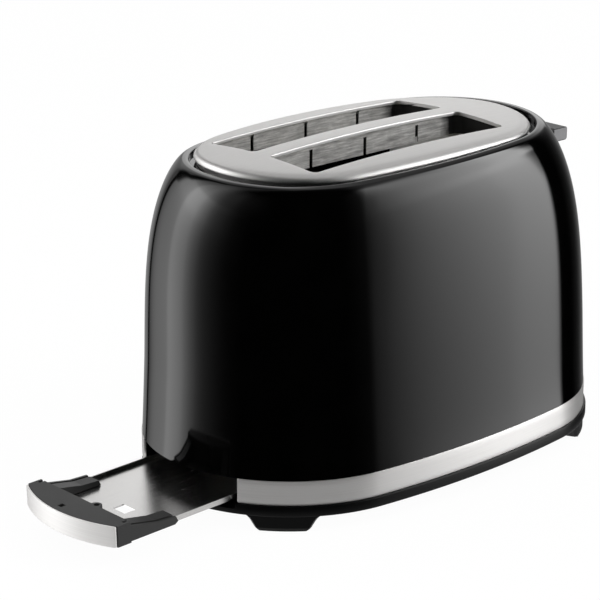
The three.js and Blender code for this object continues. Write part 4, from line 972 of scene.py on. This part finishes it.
back = Vector((math.sin(AZIMUTH) * math.cos(ELEVATION), -math.cos(AZIMUTH) * math.cos(ELEVATION),
               math.sin(ELEVATION)))
right = Vector((math.cos(AZIMUTH), math.sin(AZIMUTH), 0))
up = back.cross(right)
camera = bpy.data.objects.new("camera", bpy.data.cameras.new("camera"))
bpy.context.scene.collection.objects.link(camera)
spot = Vector((BODY_X, 0, AIM_HEIGHT)) + back * DISTANCE + right * MOVE_RIGHT + up * MOVE_UP
camera.matrix_world = Matrix.Translation(spot * MM) @ Matrix((right, up, back)).transposed().to_4x4()
camera.data.sensor_width = SENSOR_WIDTH
camera.data.lens = SENSOR_WIDTH * FOCAL_LENGTH / PICTURE_WIDTH
camera.data.clip_end = 50
bpy.context.scene.camera = camera


# ---------- floor, world and lights ----------

WHITE = (1, 1, 1, 1)
FLOOR_SIZE, FLOOR_ROUND, FLOOR_THICKNESS = 6000, 900, 0.4
FLOOR_COLOUR, FLOOR_ROUGHNESS, FLOOR_GLOW = (0.9, 0.9, 0.9, 1), 0.9, 0.97


def build_floor():
    """White ground that mostly glows towards the camera and isn't seen by glossy rays."""
    plan = rounded_loop(FLOOR_SIZE, FLOOR_SIZE, FLOOR_ROUND, 12)
    rings = [lift(plan, -FLOOR_THICKNESS), lift(plan, 0.0)]
    floor = new_object("floor", *loft(rings, caps=(True, True)), shift=False)
    made, nodes, links, shader = material("floor")
    n = Nodes(made.node_tree)
    shader.inputs["Base Color"].default_value = FLOOR_COLOUR
    shader.inputs["Roughness"].default_value = FLOOR_ROUGHNESS
    path = nodes.new("ShaderNodeLightPath")
    glow = nodes.new("ShaderNodeEmission")
    glow.inputs["Color"].default_value = WHITE
    mix = nodes.new("ShaderNodeMixShader")
    links.new(n.times(path.outputs["Is Camera Ray"], FLOOR_GLOW), mix.inputs["Fac"])
    links.new(shader.outputs[0], mix.inputs[1])
    links.new(glow.outputs[0], mix.inputs[2])
    links.new(mix.outputs[0], nodes["Material Output"].inputs["Surface"])
    floor.data.materials.append(made)
    floor.visible_glossy = False


# What glossy rays see: for each soft box the bearing of its middle, then its level by bearing from there
# and by elevation, as stops of (degrees, level). The right box has its bearing bent by a slant. The levels
# were chosen from tables of what the reflections in the photo imply.
RIGHT_BOX = (
    -45.0,
    ((-40, 0.0), (-30, 0.012), (-22, 0.035), (-17, 0.14), (-13, 0.38), (-8, 0.7), (-2, 1.0), (6, 1.35),
     (13, 1.62), (16, 1.6), (18.5, 0.95), (21, 0.25), (23.5, 0.0), (30, 0.0)),
    ((-70, 0.1), (-30, 0.3), (-21, 0.58), (-19, 0.8), (-18, 1.0), (-15, 1.3), (-8, 1.75), (0, 2.2), (10, 2.9),
     (18, 3.6), (24, 3.5), (32, 3.6), (38, 3.3), (43, 2.1), (48, 0.6), (54, 0.08), (60, 0.0)),
)
LEFT_BOX = (
    130.0,
    ((-54, 0.0), (-51, 0.08), (-46, 0.24), (-39, 0.52), (-32, 0.8), (-24, 1.1), (-16, 1.5), (-8, 2.25),
     (0, 2.15), (8, 1.5), (16, 0.8), (25, 0.3), (33, 0.15), (45, 0.04), (60, 0.0)),
    ((-60, 0.4), (-25, 0.8), (-18, 1.0), (0, 1.1), (10, 1.35), (20, 1.9), (27, 2.0), (33, 1.4), (42, 0.75),
     (50, 0.4), (58, 0.2), (64, 0.1)),
)
BEHIND = (
    50.0,
    ((-56, 0.0), (-46, 0.02), (-40, 0.04), (-33, 0.09), (-27, 0.15), (-20, 0.22), (-14, 0.27), (-3, 0.31),
     (10, 0.37), (21, 0.36), (25, 0.31), (27, 0.2), (30, 0.05), (33, 0.0)),
    ((-60, 0.3), (-25, 0.8), (-18, 1.0), (-8, 1.1), (0, 1.1), (6, 1.0), (12, 1.1), (18, 1.5), (30, 1.5),
     (45, 0.8)),
)
LAMP = (
    44.0,
    ((-20, 0.0), (-9, 1.0), (5, 1.0), (12, 0.0)),
    ((1, 0.0), (8, 0.9), (18, 0.9), (28, 0.6), (40, 0.0)),
)
HAZE = (
    155.0,
    ((-30, 0.0), (-12, 1.0), (4, 1.0), (20, 0.4), (50, 0.0)),
    ((26, 0.0), (36, 0.12), (46, 0.2), (54, 0.12), (62, 0.0)),
)
# Degrees by which the right box leans at each elevation, over the one it rests at. The lean starts SLANT_FROM
# degrees before its middle and is full SLANT_OVER degrees on.
SLANT = ((-90, 2.0), (0, 2.0), (8, 0.6), (13, 0.5), (18, 4.0), (24, 5.5), (30, 9.0), (36, 14.0), (48, 17.0),
         (90, 17.0))
SLANT_REST, SLANT_FROM, SLANT_OVER = 2.0, 8.0, 16.0
# The ceiling's level by elevation, and by how far a direction points towards the camera
CEILING = ((38, 0.0), (46, 0.2), (54, 0.32), (62, 0.22), (70, 0.07), (90, 0.05))
CEILING_SIDE = ((-1, 1.0), (-0.2, 1.0), (0.05, 0.5), (0.25, 0.0), (1, 0.0))
FRONT_X, FRONT_Y = -0.675, -0.737
# The dark gap in the far side: its bearing and half width by elevation, its level by distance from its middle
# in half widths, and by how much it is wider past its middle
GAP_BEARING = ((-90, 50.8), (6, 84.4), (18, 85.0), (24, 86.5), (30, 91.0), (42, 90.5), (48, 92.0), (54, 98.0),
               (66, 104.0), (90, 104.0))
GAP_HALF = ((-90, 1.0), (6, 1.0), (13, 2.8), (20, 3.4), (48, 3.4), (60, 2.0), (90, 1.0))
GAP_LEVEL = ((0, 0.02), (1.0, 0.08), (2.6, 1.0), (4, 1.0))
GAP_WIDER = 0.38
# Level towards the ground by elevation, the least level anywhere, and what other rays see
GROUND = ((-90, 0.6), (-40, 0.6), (-27, 0.45), (-21.5, 0.0))
LEAST, DIFFUSE_LEVEL, CAMERA_LEVEL = 0.002, 0.85, 1.05


def build_world():
    """Even white for the camera and for diffuse light, and a studio of soft boxes for glossy rays."""
    world = bpy.data.worlds.new("studio")
    bpy.context.scene.world = world
    world.use_nodes = True
    tree = world.node_tree
    n = Nodes(tree)
    where = tree.nodes.new("ShaderNodeTexCoord")
    parts = tree.nodes.new("ShaderNodeSeparateXYZ")
    tree.links.new(where.outputs["Generated"], parts.inputs[0])
    x, y, z = parts.outputs
    azimuth = n.times(n.math("ARCTAN2", y, x), 180 / math.pi)
    elevation = n.times(n.math("ARCSINE", z), 180 / math.pi)

    def around(middle):
        """Azimuth counted from a middle direction, from -180 to 180."""
        return n.math("WRAP", n.minus(azimuth, middle), 180.0, -180.0)

    def soft_box(middle, across, upright):
        return n.times(n.ramp(around(middle), *across), n.ramp(elevation, *upright))

    middle, across, upright = RIGHT_BOX
    right_half = n.share(n.math("DIVIDE", n.plus(around(middle), SLANT_FROM), SLANT_OVER))
    slant = n.times(n.minus(n.ramp(elevation, *SLANT), SLANT_REST), right_half)
    right_box = n.times(n.ramp(n.minus(around(middle), slant), *across), n.ramp(elevation, *upright))
    to_front = n.plus(n.times(x, FRONT_X), n.times(y, FRONT_Y))
    ceiling = n.times(n.ramp(elevation, *CEILING), n.ramp(to_front, *CEILING_SIDE))
    from_gap = n.minus(azimuth, n.ramp(elevation, *GAP_BEARING))
    wider = n.times(n.math("MAXIMUM", from_gap, 0.0), GAP_WIDER)
    from_gap = n.minus(n.math("ABSOLUTE", from_gap), wider)
    gap = n.ramp(n.math("DIVIDE", from_gap, n.ramp(elevation, *GAP_HALF)), *GAP_LEVEL)
    far_side = n.plus(n.plus(soft_box(*LEFT_BOX), soft_box(*BEHIND)), n.plus(ceiling, soft_box(*LAMP)))
    total = n.plus(n.times(far_side, gap), n.plus(right_box, soft_box(*HAZE)))
    total = n.plus(total, n.ramp(elevation, *GROUND), LEAST)
    path = tree.nodes.new("ShaderNodeLightPath")
    strength = n.plus(n.times(path.outputs["Is Glossy Ray"], n.minus(total, DIFFUSE_LEVEL)), DIFFUSE_LEVEL)
    to_camera = n.times(path.outputs["Is Camera Ray"], n.minus(CAMERA_LEVEL, strength))
    background = tree.nodes["Background"]
    background.inputs["Color"].default_value = WHITE
    tree.links.new(n.plus(strength, to_camera), background.inputs["Strength"])
    world.cycles.sampling_method = "NONE"


LIGHT_AIM = Vector((0, 0, 0.08))


def soft_light(name, place, size, power):
    """Round lamp aimed at the body, seen neither by the camera nor in reflections."""
    data = bpy.data.lights.new(name, "AREA")
    data.shape, data.size, data.energy = "DISK", size, power
    light = bpy.data.objects.new(name, data)
    bpy.context.scene.collection.objects.link(light)
    light.location = place
    light.rotation_euler = (LIGHT_AIM - Vector(place)).to_track_quat("-Z", "Y").to_euler()
    light.visible_glossy = False
    light.visible_camera = False


build_floor()
build_world()
soft_light("key", (0.9, -1.1, 1.3), 0.9, 12)
soft_light("fill", (-1.3, -0.2, 1.0), 1.1, 6)
